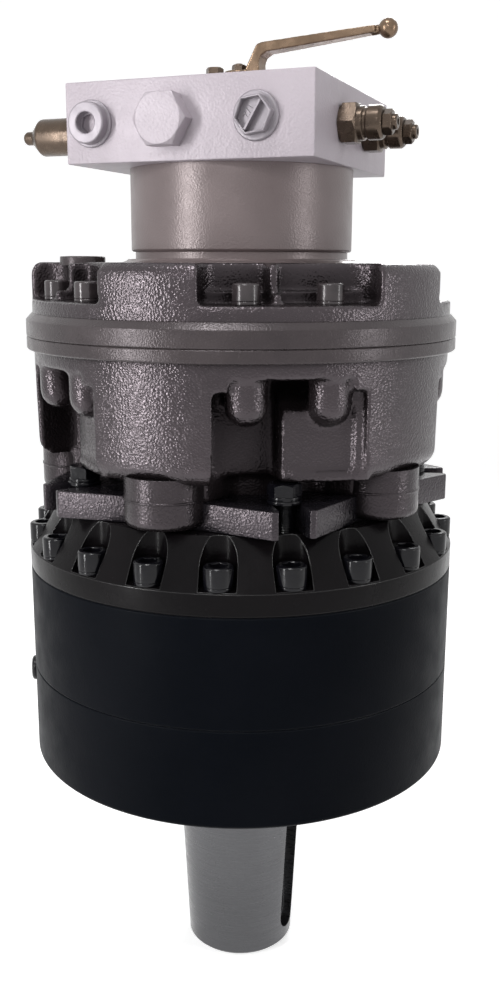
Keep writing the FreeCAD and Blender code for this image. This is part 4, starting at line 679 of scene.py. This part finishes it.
def gear_case_pieces(coats):
    black, cone, screw_black = coats["gear_case_paint"], coats["gear_cone_paint"], coats["screw_paint"]
    lower = turned_mesh("lower_case_shell", [
        (75, 4), (93.1, 4), (93.1, 0), (143, 0, 1.2), (CASE, 2, 1.2), (CASE, 63.1, 0.3), (144.3, LOW_SEAM),
        (100, LOW_SEAM), (100, 4)], 288)
    hole = prism_mesh("frame_hole", circle_outline(FRAME_HOLE_CIRCLE, 0, 7), -2, 30)
    mouth = turned_mesh("frame_hole_mouth", [(0, -2), (9.2, -2), (7, 1), (0, 1)], 48, (FRAME_HOLE_CIRCLE, 0))
    holes = repeated_round_axis("frame_holes", joined("frame_hole_seed", [hole, mouth]), FRAME_HOLES, 15, black)
    lower = carved("lower_case_shell", lower, holes)
    add_piece("gear_case_lower_shell", tidy(lower, 30), black, "housing", "case_black", "lower_case")

    ring = turned_mesh("ring_gear_shell", [
        (90, LOW_SEAM), (144.3, LOW_SEAM), (CASE, 64.5, 0.3), (CASE, 133.1, 0.3), (144.3, HIGH_SEAM),
        (90, HIGH_SEAM)], 288)
    ring = carved("ring_gear_shell", ring, prism_mesh("tooth_spaces", tooth_spaces(), 60, 138))
    add_piece("ring_gear_shell", tidy(ring, 30), black, "housing", "case_black", "ring_gear")

    cover = turned_mesh("input_cover_shell", [
        (70, 170), (70, 178), (126, 178, 0.8), (144.5, 148.4), (CASE, 147.9), (CASE, 134.6, 0.3),
        (144.2, HIGH_SEAM), (100, HIGH_SEAM), (100, 170)], 360)
    slot = [(148, -11.2), (160, -11.2), (160, 11.2), (148, 11.2)]
    slot += [(COVER_SCREW_CIRCLE + 11.2 * math.cos(math.radians(a)), 11.2 * math.sin(math.radians(a)))
             for a in range(90, 271, 6)]
    scallops = repeated_round_axis("cover_scallops", prism_mesh("scallop", slot, COVER_SINK, 186), COVER_SCREWS,
                                   COVER_SCREW_TURN, cone)
    cover = carved("input_cover_shell", cover, scallops)
    add_piece("input_cover_shell", tidy(cover, 24), cone, "housing", "case_black", "input_cover")

    screw = cap_screw("cover_screw_seed", 9.0, 151.0, 163.0, 10.0, 6.2)
    screw = moved(screw, shift(COVER_SCREW_CIRCLE, 0, 0))
    plate = turned_mesh("cover_washer_seed", [
        (5, COVER_SINK), (8.8, COVER_SINK, 0.5), (8.8, 151.0, 0.5), (5, 151.0)], 48, (COVER_SCREW_CIRCLE, 0))
    first = COVER_SCREW_TURN + 90
    add_ring_of_pieces("cover_cap_screws", screw, COVER_SCREWS, first, screw_black, "screw_black", "cover_screws")
    add_ring_of_pieces("cover_screw_washers", plate, COVER_SCREWS, first, screw_black, "screw_black",
                       "cover_washers")


def output_shaft_piece(coats):
    shaft = turned_mesh("shaft_body", [
        (0, -163), (35, -163, 0.6), (38.15, -160, 0.6), (45.0, -24), (45.0, 76.8), (0, 76.8)], 256)
    slot = []
    for end, start in ((-141, math.pi), (-63, 0)):
        for k in range(13):
            a = start + math.pi * k / 12
            slot.append((11 * math.cos(a), end + 11 * math.sin(a)))
    key = moved(prism_mesh("keyway", slot, 0, 40), shift(31, 0, 0) @ spin(90) @ spin(90, "X"))
    hole = turned_mesh("shaft_end_hole", [
        (0, -165), (10.5, -165), (10.5, -162.9), (8.5, -160.9), (8.5, -125), (0, -120)], 64)
    shaft = carved("shaft_body", carved("shaft_body", shaft, key), hole)
    shaft = moved(tidy(shaft, 28), azimuth_turn(66))
    add_piece("tapered_output_shaft", shaft, coats["shaft_metal"], "output", "shaft_steel", "output_shaft")


def side_plug_piece(coats):
    azimuth, radius, level = -84, 148, 53
    head = turned_mesh("side_plug_head", [
        (0, -3), (8.3, -3), (8.5, -2.7), (8.5, -1.2, 0.5), (7.3, 0, 0.4), (0, 0)], 64)
    head = carved("side_plug_head", head, prism_mesh("side_plug_key", hexagon(6.8), -2.4, 1))
    a = math.radians(azimuth)
    place = shift(radius * math.sin(a), -radius * math.cos(a), level) @ azimuth_turn(azimuth) @ spin(90, "Y")
    add_piece("side_plug_head", moved(tidy(head, 30), place), coats["screw_paint"], "housing", "screw_black",
              "side_plug")


# ---------------------------------------------------------------- cast motor housings

def foot_outline():
    """The foot's five ears, each with an open slot, and the short flats behind the columns."""
    ear = [(139.5, -13), (139.5, -9.4), (134.5, -8.1)]
    ear += [(FOOT_BOLT_CIRCLE + 8 * math.cos(math.radians(t)), 8 * math.sin(math.radians(t)))
            for t in range(270, 89, -15)]
    ear += [(134.5, 8.1), (139.5, 9.4), (139.5, 13)]
    flat = [(115.2, -27), (115.2, 27)]
    outline = []
    for k in range(LOBES):
        for points, turn in ((ear, 72 * k), (flat, 72 * k + HALF_LOBE)):
            c, d = math.cos(math.radians(turn)), math.sin(math.radians(turn))
            outline += [(u * c - v * d, u * d + v * c) for u, v in points]
    return outline


def front_casting(coats):
    """The front drum with its channels, and the panel, sill, webs and screw bosses in each."""
    paint, tool = coats["rough_casting_paint"], coats["screw_paint"]
    drum = turned_mesh("front_drum", [
        (62, 180), (91.5, 180), (91.5, 209), (129.5, 207.2, 3), (136.5, 213.5, 7), (137.8, 286), (62, 286)], 256)
    channel = prism_mesh("channel", [(100, -45.5, 9), (152, -45.5), (152, 45.5), (100, 45.5, 9)], 190, 262)
    roof = prism_mesh("channel_roof", [(100, -37, 6), (152, -37), (152, 37), (100, 37, 6)], 260, 269)
    cut = repeated_round_axis("channels", joined("channel_seed", [channel, roof]), LOBES, 0, tool)
    drum = carved("front_drum", drum, cut)

    panel = prism_mesh("panel", [(92, -3), (118, -3, 2), (119.6, 12), (120.4, 47), (92, 47)], 207.5, 250)
    slope = prism_mesh("panel_top", [(92, 242), (118.4, 242), (118.4, 249, 3), (102, 264), (92, 264)], -47, 3)
    sill = prism_mesh("panel_sill", [(96, 0), (120, 0, 3), (122.5, 20), (123.5, 47), (96, 47)], 207.5, 213)
    web = prism_mesh("panel_web", [(92, 38), (124, 40), (124, 50), (92, 50)], 207.5, 262)
    arm = prism_mesh("column_web", [(84, -34), (113, -26), (113, 26), (84, 34)], 194.5, 210)
    seeds = [panel, moved(slope, spin(90, "X")), sill, web, moved(arm, spin(HALF_LOBE))]
    spread = math.radians(JOINT_SCREW_SPREAD)
    for side in (-1, 1):
        x, y = 123.5 * math.cos(spread), side * 123.5 * math.sin(spread)
        boss = [(0, 241), (4.8, 242.0), (9.3, 245.0), (11.8, 249), (12.5, 253), (12.5, 279), (0, 279)]
        seeds.append(turned_mesh("boss", boss, 48, (x, y)))
        seeds.append(box_mesh("boss_back", (98, y - 9, 252), (118, y + 9, 275)))
    extras = repeated_round_axis("front_extras", joined("front_extra_seed", seeds), LOBES, 0, tool)
    skin = cast_skin("front_casting", joined("front_all", [drum, extras]), 0.00165, 7, 0.42)
    add_piece("front_casting", moved(skin, azimuth_turn(LOBE_TURN)), paint, "housing", "casting_black",
              "front_housing")


def front_foot(coats):
    """The foot plate and its columns, and the turned flange above the drum."""
    foot = bevelled("foot_plate", prism_mesh("foot", foot_outline(), 178, FOOT_TOP), 0.0009, 3)
    add_piece("foot_plate", moved(foot, azimuth_turn(LOBE_TURN)), coats["foot_paint"], "housing", "casting_black")

    column = turned_mesh("column", [
        (0, 180), (22, 180, 2.5), (25, 183, 3), (25, 196.2, 0.2), (25.5, 196.7), (25.5, 197.3),
        (24.9, 197.8, 0.2), (24.9, 211), (0, 211)], 96)
    column = moved(column, spin(HALF_LOBE) @ shift(COLUMN_CIRCLE, 0, 0))
    add_ring_of_pieces("foot_columns", column, LOBES, LOBE_TURN, coats["column_paint"], "casting_black")

    band = turned_mesh("front_flange", [
        (125, 278.2), (141.2, 278.2, 0.8), (FLANGE, 279.2, 0.4), (FLANGE, 285.8, 0.3), (141.5, HOUSING_SPLIT),
        (125, HOUSING_SPLIT)], 320)
    add_piece("front_flange_band", band, coats["smooth_casting_paint"], "housing", "casting_black")


def rear_casting(coats):
    """The rear drum with its screw pockets and ribs, its flange and the boss of the drain."""
    paint, tool, smooth = coats["rough_casting_paint"], coats["screw_paint"], coats["smooth_casting_paint"]
    drum = turned_mesh("rear_drum", [
        (50, 287), (137.9, 287), (137.9, 327.4, 2), (134.5, 333, 5), (50, 333)], 256)
    mouth = [(107, -43, 6), (115, -51), (132, -54), (150, -64), (150, 64), (132, 54), (115, 51), (107, 43, 6)]
    cut = repeated_round_axis("rear_pockets", prism_mesh("rear_pocket", mouth, 310, 345), LOBES, 0, tool)
    drum = carved("rear_drum", drum, cut)
    ledge = prism_mesh("pocket_ledge", [(100, -46), (110.5, -46, 2), (110.5, 46, 2), (100, 46)], 306, 317)
    rib = prism_mesh("rib", [
        (96, -15), (107.5, -12.5, 3), (112, -10.9, 2), (119, -10.8, 1), (119, -5.2, 1), (112, -5.1, 2),
        (107.5, -3.5, 3), (96, -1)], 305, 332.5)
    low_rib = prism_mesh("low_rib", [(100, -10.8), (128, -10.8, 1), (128, -5.2, 1), (100, -5.2)], 305, 316)
    extras = repeated_round_axis("rear_extras", joined("rear_extra_seed", [ledge, rib, low_rib]), LOBES, 0, tool)
    skin = cast_skin("rear_casting", joined("rear_all", [drum, extras]), 0.0016, 5, 0.42)
    add_piece("rear_casting", moved(skin, azimuth_turn(LOBE_TURN)), paint, "housing", "casting_black",
              "rear_housing")

    band = turned_mesh("rear_flange", [
        (125, HOUSING_SPLIT), (141.5, HOUSING_SPLIT), (FLANGE, 287.2, 0.3), (FLANGE, 297.0, 0.4),
        (138.4, 301.2, 0.4), (125, 301.2)], 320)
    add_piece("rear_flange_band", band, smooth, "housing", "casting_black")

    a = math.radians(-76)
    boss = turned_mesh("drain_boss", [(8.2, 331), (14.5, 331), (14.5, 336.6, 0.8), (8.2, 336.9, 0.3)], 64,
                       (105 * math.sin(a), -105 * math.cos(a)))
    add_piece("drain_boss", boss, smooth, "housing", "casting_black")


def screw_pair(name, make):
    """Two of what is made, on the joint screws' circle at both sides of a lobe's middle."""
    return joined(name, [moved(make(), spin(JOINT_SCREW_SPREAD * side) @ shift(JOINT_SCREW_CIRCLE, 0, 0))
                         for side in (-1, 1)])


def motor_screws(coats):
    def head():
        return cap_screw("joint_screw_seed", 8.0, 312.0, 322.0, 8.0, 5.0)

    def washer():
        return turned_mesh("joint_washer_seed", [(5, 310), (8.0, 310, 0.4), (8.0, 312, 0.4), (5, 312)], 48)
    paint = coats["joint_screw_paint"]
    add_ring_of_pieces("joint_cap_screws", screw_pair("joint_screws_seed", head), LOBES, LOBE_TURN, paint,
                       "screw_black", "joint_screws")
    add_ring_of_pieces("joint_screw_washers", screw_pair("joint_washers_seed", washer), LOBES, LOBE_TURN, paint,
                       "screw_black", "joint_washers")

    paint = coats["screw_paint"]
    shank = [(0, 160)]
    for k in range(25):
        z = 160 + 1.55 * k
        shank += [(5.25, z), (6.0, z + 0.78)]
    shank += [(5.3, 200), (0, 200)]
    shank = turned_mesh("foot_bolt_shank", shank, 48, sharp=60)
    bolt = joined("foot_bolt_seed", [chamfered_hexagon("foot_bolt_head", 18, 199.6, 207.1, 12, 1.4), shank])
    bolt = moved(bolt, shift(FOOT_BOLT_CIRCLE, 0, 0))
    add_ring_of_pieces("foot_hexagon_bolts", bolt, LOBES, LOBE_TURN, paint, "screw_black", "mounting_bolts")
    plate = turned_mesh("foot_washer_seed", [
        (6.4, FOOT_TOP), (10.4, FOOT_TOP, 0.4), (10.4, 197.2, 0.5), (6.4, 197.2)], 64, (FOOT_BOLT_CIRCLE, 0))
    lock = turned_mesh("foot_lock_washer", [
        (6.4, 197.2), (9.6, 197.2, 0.5), (9.6, 199.6, 0.5), (6.4, 199.6)], 64, (FOOT_BOLT_CIRCLE, 0))
    add_ring_of_pieces("foot_bolt_washers", joined("foot_washers_seed", [plate, lock]), LOBES, LOBE_TURN, paint,
                       "screw_black", "mounting_washers")


# ---------------------------------------------------------------- neck and valve block

def block_place(along, across, level, facing):
    """A place on the valve block: facing up, front, left or right."""
    turn = {"up": Matrix.Identity(4), "front": spin(90, "X"), "right": spin(90, "Y"), "left": spin(-90, "Y")}
    return spin(BLOCK_TURN) @ shift(along, -across, level) @ turn[facing]


def neck_piece(coats):
    neck = turned_mesh("neck", [
        (24, 333), (79.5, 333, 0.4), (76.0, 334.2, 1.2), (75, 335.2, 0.4), (70, 335.2, 0.4), (70, 339.8, 0.5),
        (71.6, 339.9), (72.6, 340.9, 0.4), (72.6, BLOCK_LOW), (42, BLOCK_LOW), (42, 345), (24, 345)], 256)
    add_piece("turned_neck", neck, coats["neck_coat"], "housing", "neck_paint", "distributor_housing")


def valve_block_piece(coats):
    body = box_mesh("block", (BLOCK_LEFT, -BLOCK_FRONT, BLOCK_LOW), (BLOCK_RIGHT, BLOCK_FRONT, BLOCK_TOP))
    body = bevelled("block", body, 0.0009, 3)
    tools = [prism_mesh("sink", circle_outline(along, back, 8.6), 428, 445) for along, back in BLOCK_SCREWS]
    for along in (-26, 26):
        port = turned_mesh("port", [(0, 58), (12, 61.5), (12, 76.0), (14.2, 78.2), (14.2, 80), (0, 80)], 64)
        tools.append(moved(port, shift(along, 0, FITTING_LEVEL) @ spin(-90, "X")))
    tools.append(turned_mesh("gland_seat", [(0, 432), (14.2, 432), (14.2, 445), (0, 445)], 64,
                             (LEVER_ALONG, -LEVER_ACROSS)))
    body = carved("block", body, joined("block_tools", tools))
    body = moved(tidy(body, 25), spin(BLOCK_TURN))
    add_piece("valve_block_body", body, coats["block_coat"], "housing", "block_steel", "valve_block")


def front_plugs(coats):
    def front(along):
        return block_place(along, BLOCK_FRONT, FITTING_LEVEL, "front")

    collar = turned_mesh("socket_collar", [
        (0, 0), (13.9, 0), (13.9, 1.5, 0.4), (13.3, 2, 0.3), (12.2, 2), (12.2, 7.4, 0.5), (11.4, 8.2, 0.4),
        (6.7, 8.2, 0.3), (6.2, 7.7), (6.2, 2.4), (0, 2.4)], 96)
    collar = carved("socket_collar", collar, prism_mesh("socket_key", hexagon(10.4, 15), -3, 2.8))
    add_piece("socket_plug_collar", moved(tidy(collar, 30), front(-66.5)), coats["fitting_coat"], "housing",
              "plug_plated", "socket_plug")

    head = chamfered_hexagon("hex_head", 29.5, 0.0, 12.0, 0, 2.2)
    add_piece("large_hexagon_plug", moved(head, front(-16.5)), coats["block_coat"], "housing", "plug_plated",
              "hex_plug")

    cup_turn, web_turn = 8, 59
    flange = turned_mesh("port_flange", [(0, 0), (14, 0), (14, 1.6, 0.5), (13.2, 2.4, 0.4), (0, 2.4)], 96)
    cup = bevelled("port_cup", prism_mesh("port_cup", hexagon(20.5, cup_turn), 1, 8), 0.0005, 2)
    cup = carved("port_cup", cup, prism_mesh("port_well", hexagon(18.1, cup_turn), 3, 9))
    web = moved(box_mesh("port_web", (-9.2, -0.7, 2.9), (9.2, 0.7, 7.4)), spin(web_turn))
    mark = moved(size_mark(), spin(web_turn + 180) @ shift(0, -4.4, 3.2))
    add_piece("ribbed_port_plug", moved(joined("port_plug_parts", [flange, cup, web, mark]), front(40.6)),
              coats["port_plug_metal"], "housing", "port_cap", "port_plug")


def size_mark():
    """The generic pipe size on the plug, raised inside its cup."""
    text = bpy.data.curves.new("pipe_size", "FONT")
    text.body = "1/2"
    text.size = 0.0062
    text.extrude = 0.00025
    text.align_x = "CENTER"
    text.align_y = "CENTER"
    holder = bpy.data.objects.new("pipe_size", text)
    scene.collection.objects.link(holder)
    bpy.context.view_layer.update()
    mesh = bpy.data.meshes.new_from_object(holder.evaluated_get(bpy.context.evaluated_depsgraph_get()))
    bpy.data.objects.remove(holder)
    return mesh


def cartridges(coats):
    metal = coats["dark_fitting_metal"]
    for name, across in (("front", 25.5), ("rear", -25.5)):
        place = block_place(BLOCK_RIGHT, across, FITTING_LEVEL, "right")
        nut = chamfered_hexagon("cartridge_nut", 22.5, 1.6, 11, 30, 1.4)
        seat = turned_mesh("cartridge_seat", [(0, 0), (11.0, 0), (11.0, 1.8, 0.4), (0, 1.8)], 64)
        barrel = turned_mesh("cartridge_barrel", [
            (0, 9), (10, 9), (10, 14.0, 0.3), (9.0, 14.6), (9.0, 16.2), (10, 16.8, 0.3), (10, 24.2, 0.8),
            (8.6, 26, 0.5), (0, 26)], 64)
        add_piece(name + "_cartridge_body", moved(joined("cartridge", [seat, nut, barrel]), place), metal,
                  "housing", "plug_plated", name + "_cartridge")
        lock = chamfered_hexagon("adjuster_nut", 13, 26.3, 31.5, 0, 0.9)
        stud = turned_mesh("adjuster_stud", [
            (0, 31), (4.6, 31), (4.6, 33.6, 0.5), (3.8, 34.3, 0.4), (0, 34.3)], 48)
        stud = carved("adjuster_stud", stud, prism_mesh("adjuster_key", hexagon(4), 31.8, 36))
        add_piece(name + "_cartridge_adjuster", moved(joined("adjuster", [lock, tidy(stud, 30)]), place), metal,
                  "housing", "plug_plated", name + "_adjuster")

    place = block_place(BLOCK_LEFT, 23.5, FITTING_LEVEL, "left")
    nut = chamfered_hexagon("left_nut", 27, 0.2, 16, 0, 1.6)
    barrel = turned_mesh("left_barrel", [
        (0, 15), (10.5, 15), (10.5, 18.4, 0.4), (12, 19, 0.5), (12, 50, 1.2), (5.2, 57, 0.6), (0, 57)], 96)
    add_piece("left_cartridge_body", moved(joined("left_cartridge_parts", [nut, barrel]), place), metal,
              "housing", "plug_plated", "left_cartridge")
    tip = turned_mesh("left_tip", [(0, 57.3), (4.4, 57.3), (4.4, 62.4, 0.5), (3.4, 64.0, 0.3), (0, 64)], 48)
    tip = carved("left_tip", tip, box_mesh("left_slot", (-6, -0.7, 62.2), (6, 0.7, 67)))
    add_piece("left_cartridge_adjuster", moved(tidy(tip, 30), place), metal, "housing", "plug_plated",
              "left_adjuster")

    head = chamfered_hexagon("top_bolt_head", 9.4, 1.4, 8.0, 10, 0.8)
    plate = turned_mesh("top_bolt_washer", [(0, 0), (7.4, 0), (7.4, 1.4, 0.4), (0, 1.4)], 64)
    bolt = moved(joined("top_bolt_parts", [head, plate]), block_place(2, 48, BLOCK_TOP, "up"))
    add_piece("top_hexagon_bolt", bolt, metal, "housing", "plug_plated", "top_bolt")


def block_screws(coats):
    bolts = [moved(cap_screw("block_bolt", 8.0, 428.0, 438.0, 8.0, 5.0), shift(along, back, 0))
             for along, back in BLOCK_SCREWS]
    bolts = moved(joined("block_bolts_all", bolts), spin(BLOCK_TURN))
    add_piece("block_cap_screws", bolts, coats["screw_paint"], "housing", "screw_black", "block_bolts")


# ---------------------------------------------------------------- lever valve

def lever_bar():
    """The lever's flat bar, bent up from its hub, as one cross-section after another."""
    over = [(5.6, 9.0), (8.2, 14.2), (13.2, 23.8), (14.6, 25.2), (17.0, 25.9), (40.0, 27.6), (70.0, 29.8),
            (88.0, 31.0)]
    under = [(15.8, 6.0), (15.6, 11.0), (15.4, 14.6), (16.6, 17.8), (20.5, 20.2), (40.0, 22.0), (70.0, 25.0),
             (88.0, 26.9)]
    half_widths = [6.6, 6.5, 6.4, 6.3, 6.2, 5.6, 4.7, 4.1]
    verts, faces = [], []
    for (a, b), (c, d), w in zip(over, under, half_widths):
        verts += [(x * MM, y * MM, z * MM) for x, y, z in ((a, -w, b), (a, w, b), (c, w, d), (c, -w, d))]
    for k in range(len(over) - 1):
        for i in range(4):
            j = (i + 1) % 4
            faces.append((4 * k + i, 4 * k + j, 4 * k + 4 + j, 4 * k + 4 + i))
    faces += [(3, 2, 1, 0), tuple(4 * (len(over) - 1) + i for i in range(4))]
    return mesh_of("lever_bar", verts, faces, 38)


def lever_pieces(coats):
    metal = coats["dark_fitting_metal"]
    place = block_place(LEVER_ALONG, LEVER_ACROSS, BLOCK_TOP, "up")
    ring = turned_mesh("gland_ring", [(6.1, -6), (14, -6), (14, 1.4, 0.5), (13.2, 2, 0.3), (6.1, 2)], 64)
    add_piece("spindle_gland_ring", moved(ring, place), coats["fitting_coat"], "housing", "plug_plated",
              "spindle_gland")
    stem = turned_mesh("spindle", [(0, -8), (6, -8), (6, 4.4), (2.4, 4.4), (2.4, 15.2, 0.4), (0, 15.2)], 48)
    add_piece("valve_spindle_stem", moved(stem, place), metal, "lever_valve", "plug_plated", "valve_spindle")
    nut = carved("nut", chamfered_hexagon("nut", 8, 10.5, 14.5, 15, 0.7),
                 prism_mesh("nut_hole", circle_outline(0, 0, 2.45), 9, 16))
    add_piece("lever_fixing_nut", moved(tidy(nut, 30), place), metal, "lever_valve", "plug_plated", "lever_nut")

    hub = turned_mesh("lever_hub", [(2.5, 4.5), (9.6, 4.5, 0.8), (9.6, 10.5, 1.2), (2.5, 10.5)], 64)
    ball_radius, ball_place = 5.8, shift(95, 0, 29.3)
    half_circle = [(ball_radius * math.sin(math.radians(t)), -ball_radius * math.cos(math.radians(t)))
                   for t in range(0, 181, 9)]
    ball = moved(turned_mesh("lever_ball", half_circle, 48), ball_place)
    throat = turned_mesh("lever_throat", [(0, -10), (3.0, -10), (2.7, -4), (2.9, 0), (0, 0)], 32)
    throat = moved(throat, ball_place @ spin(86, "Y"))
    skin = cast_skin("lever_skin", joined("lever_parts", [lever_bar(), hub, ball, throat]), 0.00042, 8, 0.5)
    add_piece("ball_end_lever", moved(skin, place), coats["lever_metal"], "lever_valve", "lever_cast", "lever")


# ---------------------------------------------------------------- studio

def cyclorama(coat):
    """A pale floor that curves up behind."""
    floor_level = -0.1632
    bend_start, bend, steps = 1.4, 0.8, 8
    line = [(-2.2, floor_level), (bend_start, floor_level)]
    for k in range(1, steps + 1):
        a = math.radians(k * 90 / steps)
        line.append((bend_start + bend * math.sin(a), floor_level + bend * (1 - math.cos(a))))
    line.append((2.2, 3.2))
    verts = [(x, y, z) for y, z in line for x in (-4, 4)]
    faces = [(2 * k, 2 * k + 1, 2 * k + 3, 2 * k + 2) for k in range(len(line) - 1)]
    mesh = bpy.data.meshes.new("cyclorama")
    mesh.from_pydata(verts, [], faces)
    for face in mesh.polygons:
        face.use_smooth = True
    mesh.materials.append(coat)
    wall = bpy.data.objects.new("cyclorama", mesh)
    scene.collection.objects.link(wall)


def studio_world():
    """White wherever it is seen, and a plain soft light on the object."""
    soft_level = 0.32
    world = bpy.data.worlds.new("studio_world")
    scene.world = world
    world.use_nodes = True
    tree = world.node_tree
    background = tree.nodes["Background"]
    background.inputs["Color"].default_value = (1, 1, 1, 1)
    level = tree.nodes.new("ShaderNodeMapRange")
    level.inputs["To Min"].default_value = soft_level
    level.inputs["To Max"].default_value = 1.0
    tree.links.new(seen_rays(tree), level.inputs["Value"])
    tree.links.new(level.outputs["Result"], background.inputs["Strength"])


def softbox(name, place, aim, wide, tall, power):
    data = bpy.data.lights.new(name, "AREA")
    data.shape = "RECTANGLE"
    data.size = wide
    data.size_y = tall
    data.energy = power
    lamp = bpy.data.objects.new(name, data)
    lamp.location = place
    lamp.rotation_euler = (Vector(aim) - Vector(place)).to_track_quat("-Z", "Y").to_euler()
    scene.collection.objects.link(lamp)


def studio(backdrop):
    cyclorama(backdrop)
    studio_world()
    softbox("overhead_softbox", (-0.15, -0.40, 1.25), (0, 0, 0.35), 0.35, 0.16, 3.6)
    softbox("left_softbox", (-0.98, -0.72, 0.36), (0, 0, 0.26), 0.09, 0.95, 8.6)
    softbox("right_softbox", (1.05, -0.50, 0.40), (0, 0, 0.24), 0.06, 0.80, 2.6)
    softbox("front_softbox", (-0.30, -1.15, 0.85), (0, 0, 0.25), 0.16, 0.10, 1.8)
    softbox("rear_softbox", (0.3, 1.1, 0.9), (0, 0, 0.25), 0.35, 0.35, 7)


# ---------------------------------------------------------------- finish

COAT_MAKERS = (rough_casting_paint, foot_paint, column_paint, smooth_casting_paint, gear_case_paint,
               gear_cone_paint, neck_coat, block_coat, fitting_coat, dark_fitting_metal, lever_metal,
               port_plug_metal, screw_paint, joint_screw_paint, shaft_metal, inner_steel, lip_seal_rubber,
               cyclorama_coat)

CAD_FINISH = {
    "gear_case_paint": ["seal_cover", "lower_case", "ring_gear"],
    "gear_cone_paint": ["input_cover"],
    "rough_casting_paint": ["front_housing", "rear_housing"],
    "neck_coat": ["distributor_housing"],
    "block_coat": ["valve_block"],
    "fitting_coat": ["socket_plug", "hex_plug", "top_bolt", "spindle_gland", "block_bolts"],
    "port_plug_metal": ["port_plug"],
    "dark_fitting_metal": ["left_cartridge", "left_adjuster", "front_cartridge", "front_adjuster",
                           "rear_cartridge", "rear_adjuster", "valve_spindle", "lever_nut"],
    "lever_metal": ["lever"],
    "screw_paint": ["cover_screws", "cover_washers", "side_plug", "seal_cover_screws", "mounting_bolts",
                    "mounting_washers"],
    "joint_screw_paint": ["joint_screws", "joint_washers", "drain_plug"],
    "shaft_metal": ["output_shaft"],
    "lip_seal_rubber": ["shaft_seal"],
    "inner_steel": ["lower_bearing_outer", "lower_bearing_inner", "lower_bearing_rollers",
                    "upper_bearing_outer", "upper_bearing_inner", "upper_bearing_rollers", "planet_carrier",
                    "planet_pins", "planet_gear_1", "planet_gear_2", "planet_gear_3", "sun_gear",
                    "input_coupling", "input_bearing", "crankshaft", "eccentric_ring", "front_crank_bearing",
                    "rear_crank_bearing", "pistons", "distributor_rotor"],
}


def build():
    photo_camera()
    coats = {}
    for maker in COAT_MAKERS:
        made = maker()
        coats[made.name] = made
    for coat, names in CAD_FINISH.items():
        for name in names:
            mesh = nodes[name].data
            mesh.materials.clear()
            mesh.materials.append(coats[coat])
    gear_case_pieces(coats)
    output_shaft_piece(coats)
    front_casting(coats)
    front_foot(coats)
    rear_casting(coats)
    motor_screws(coats)
    neck_piece(coats)
    valve_block_piece(coats)
    front_plugs(coats)
    cartridges(coats)
    block_screws(coats)
    lever_pieces(coats)
    side_plug_piece(coats)
    studio(coats["cyclorama_coat"])
    scene.view_settings.view_transform = "Standard"


build()
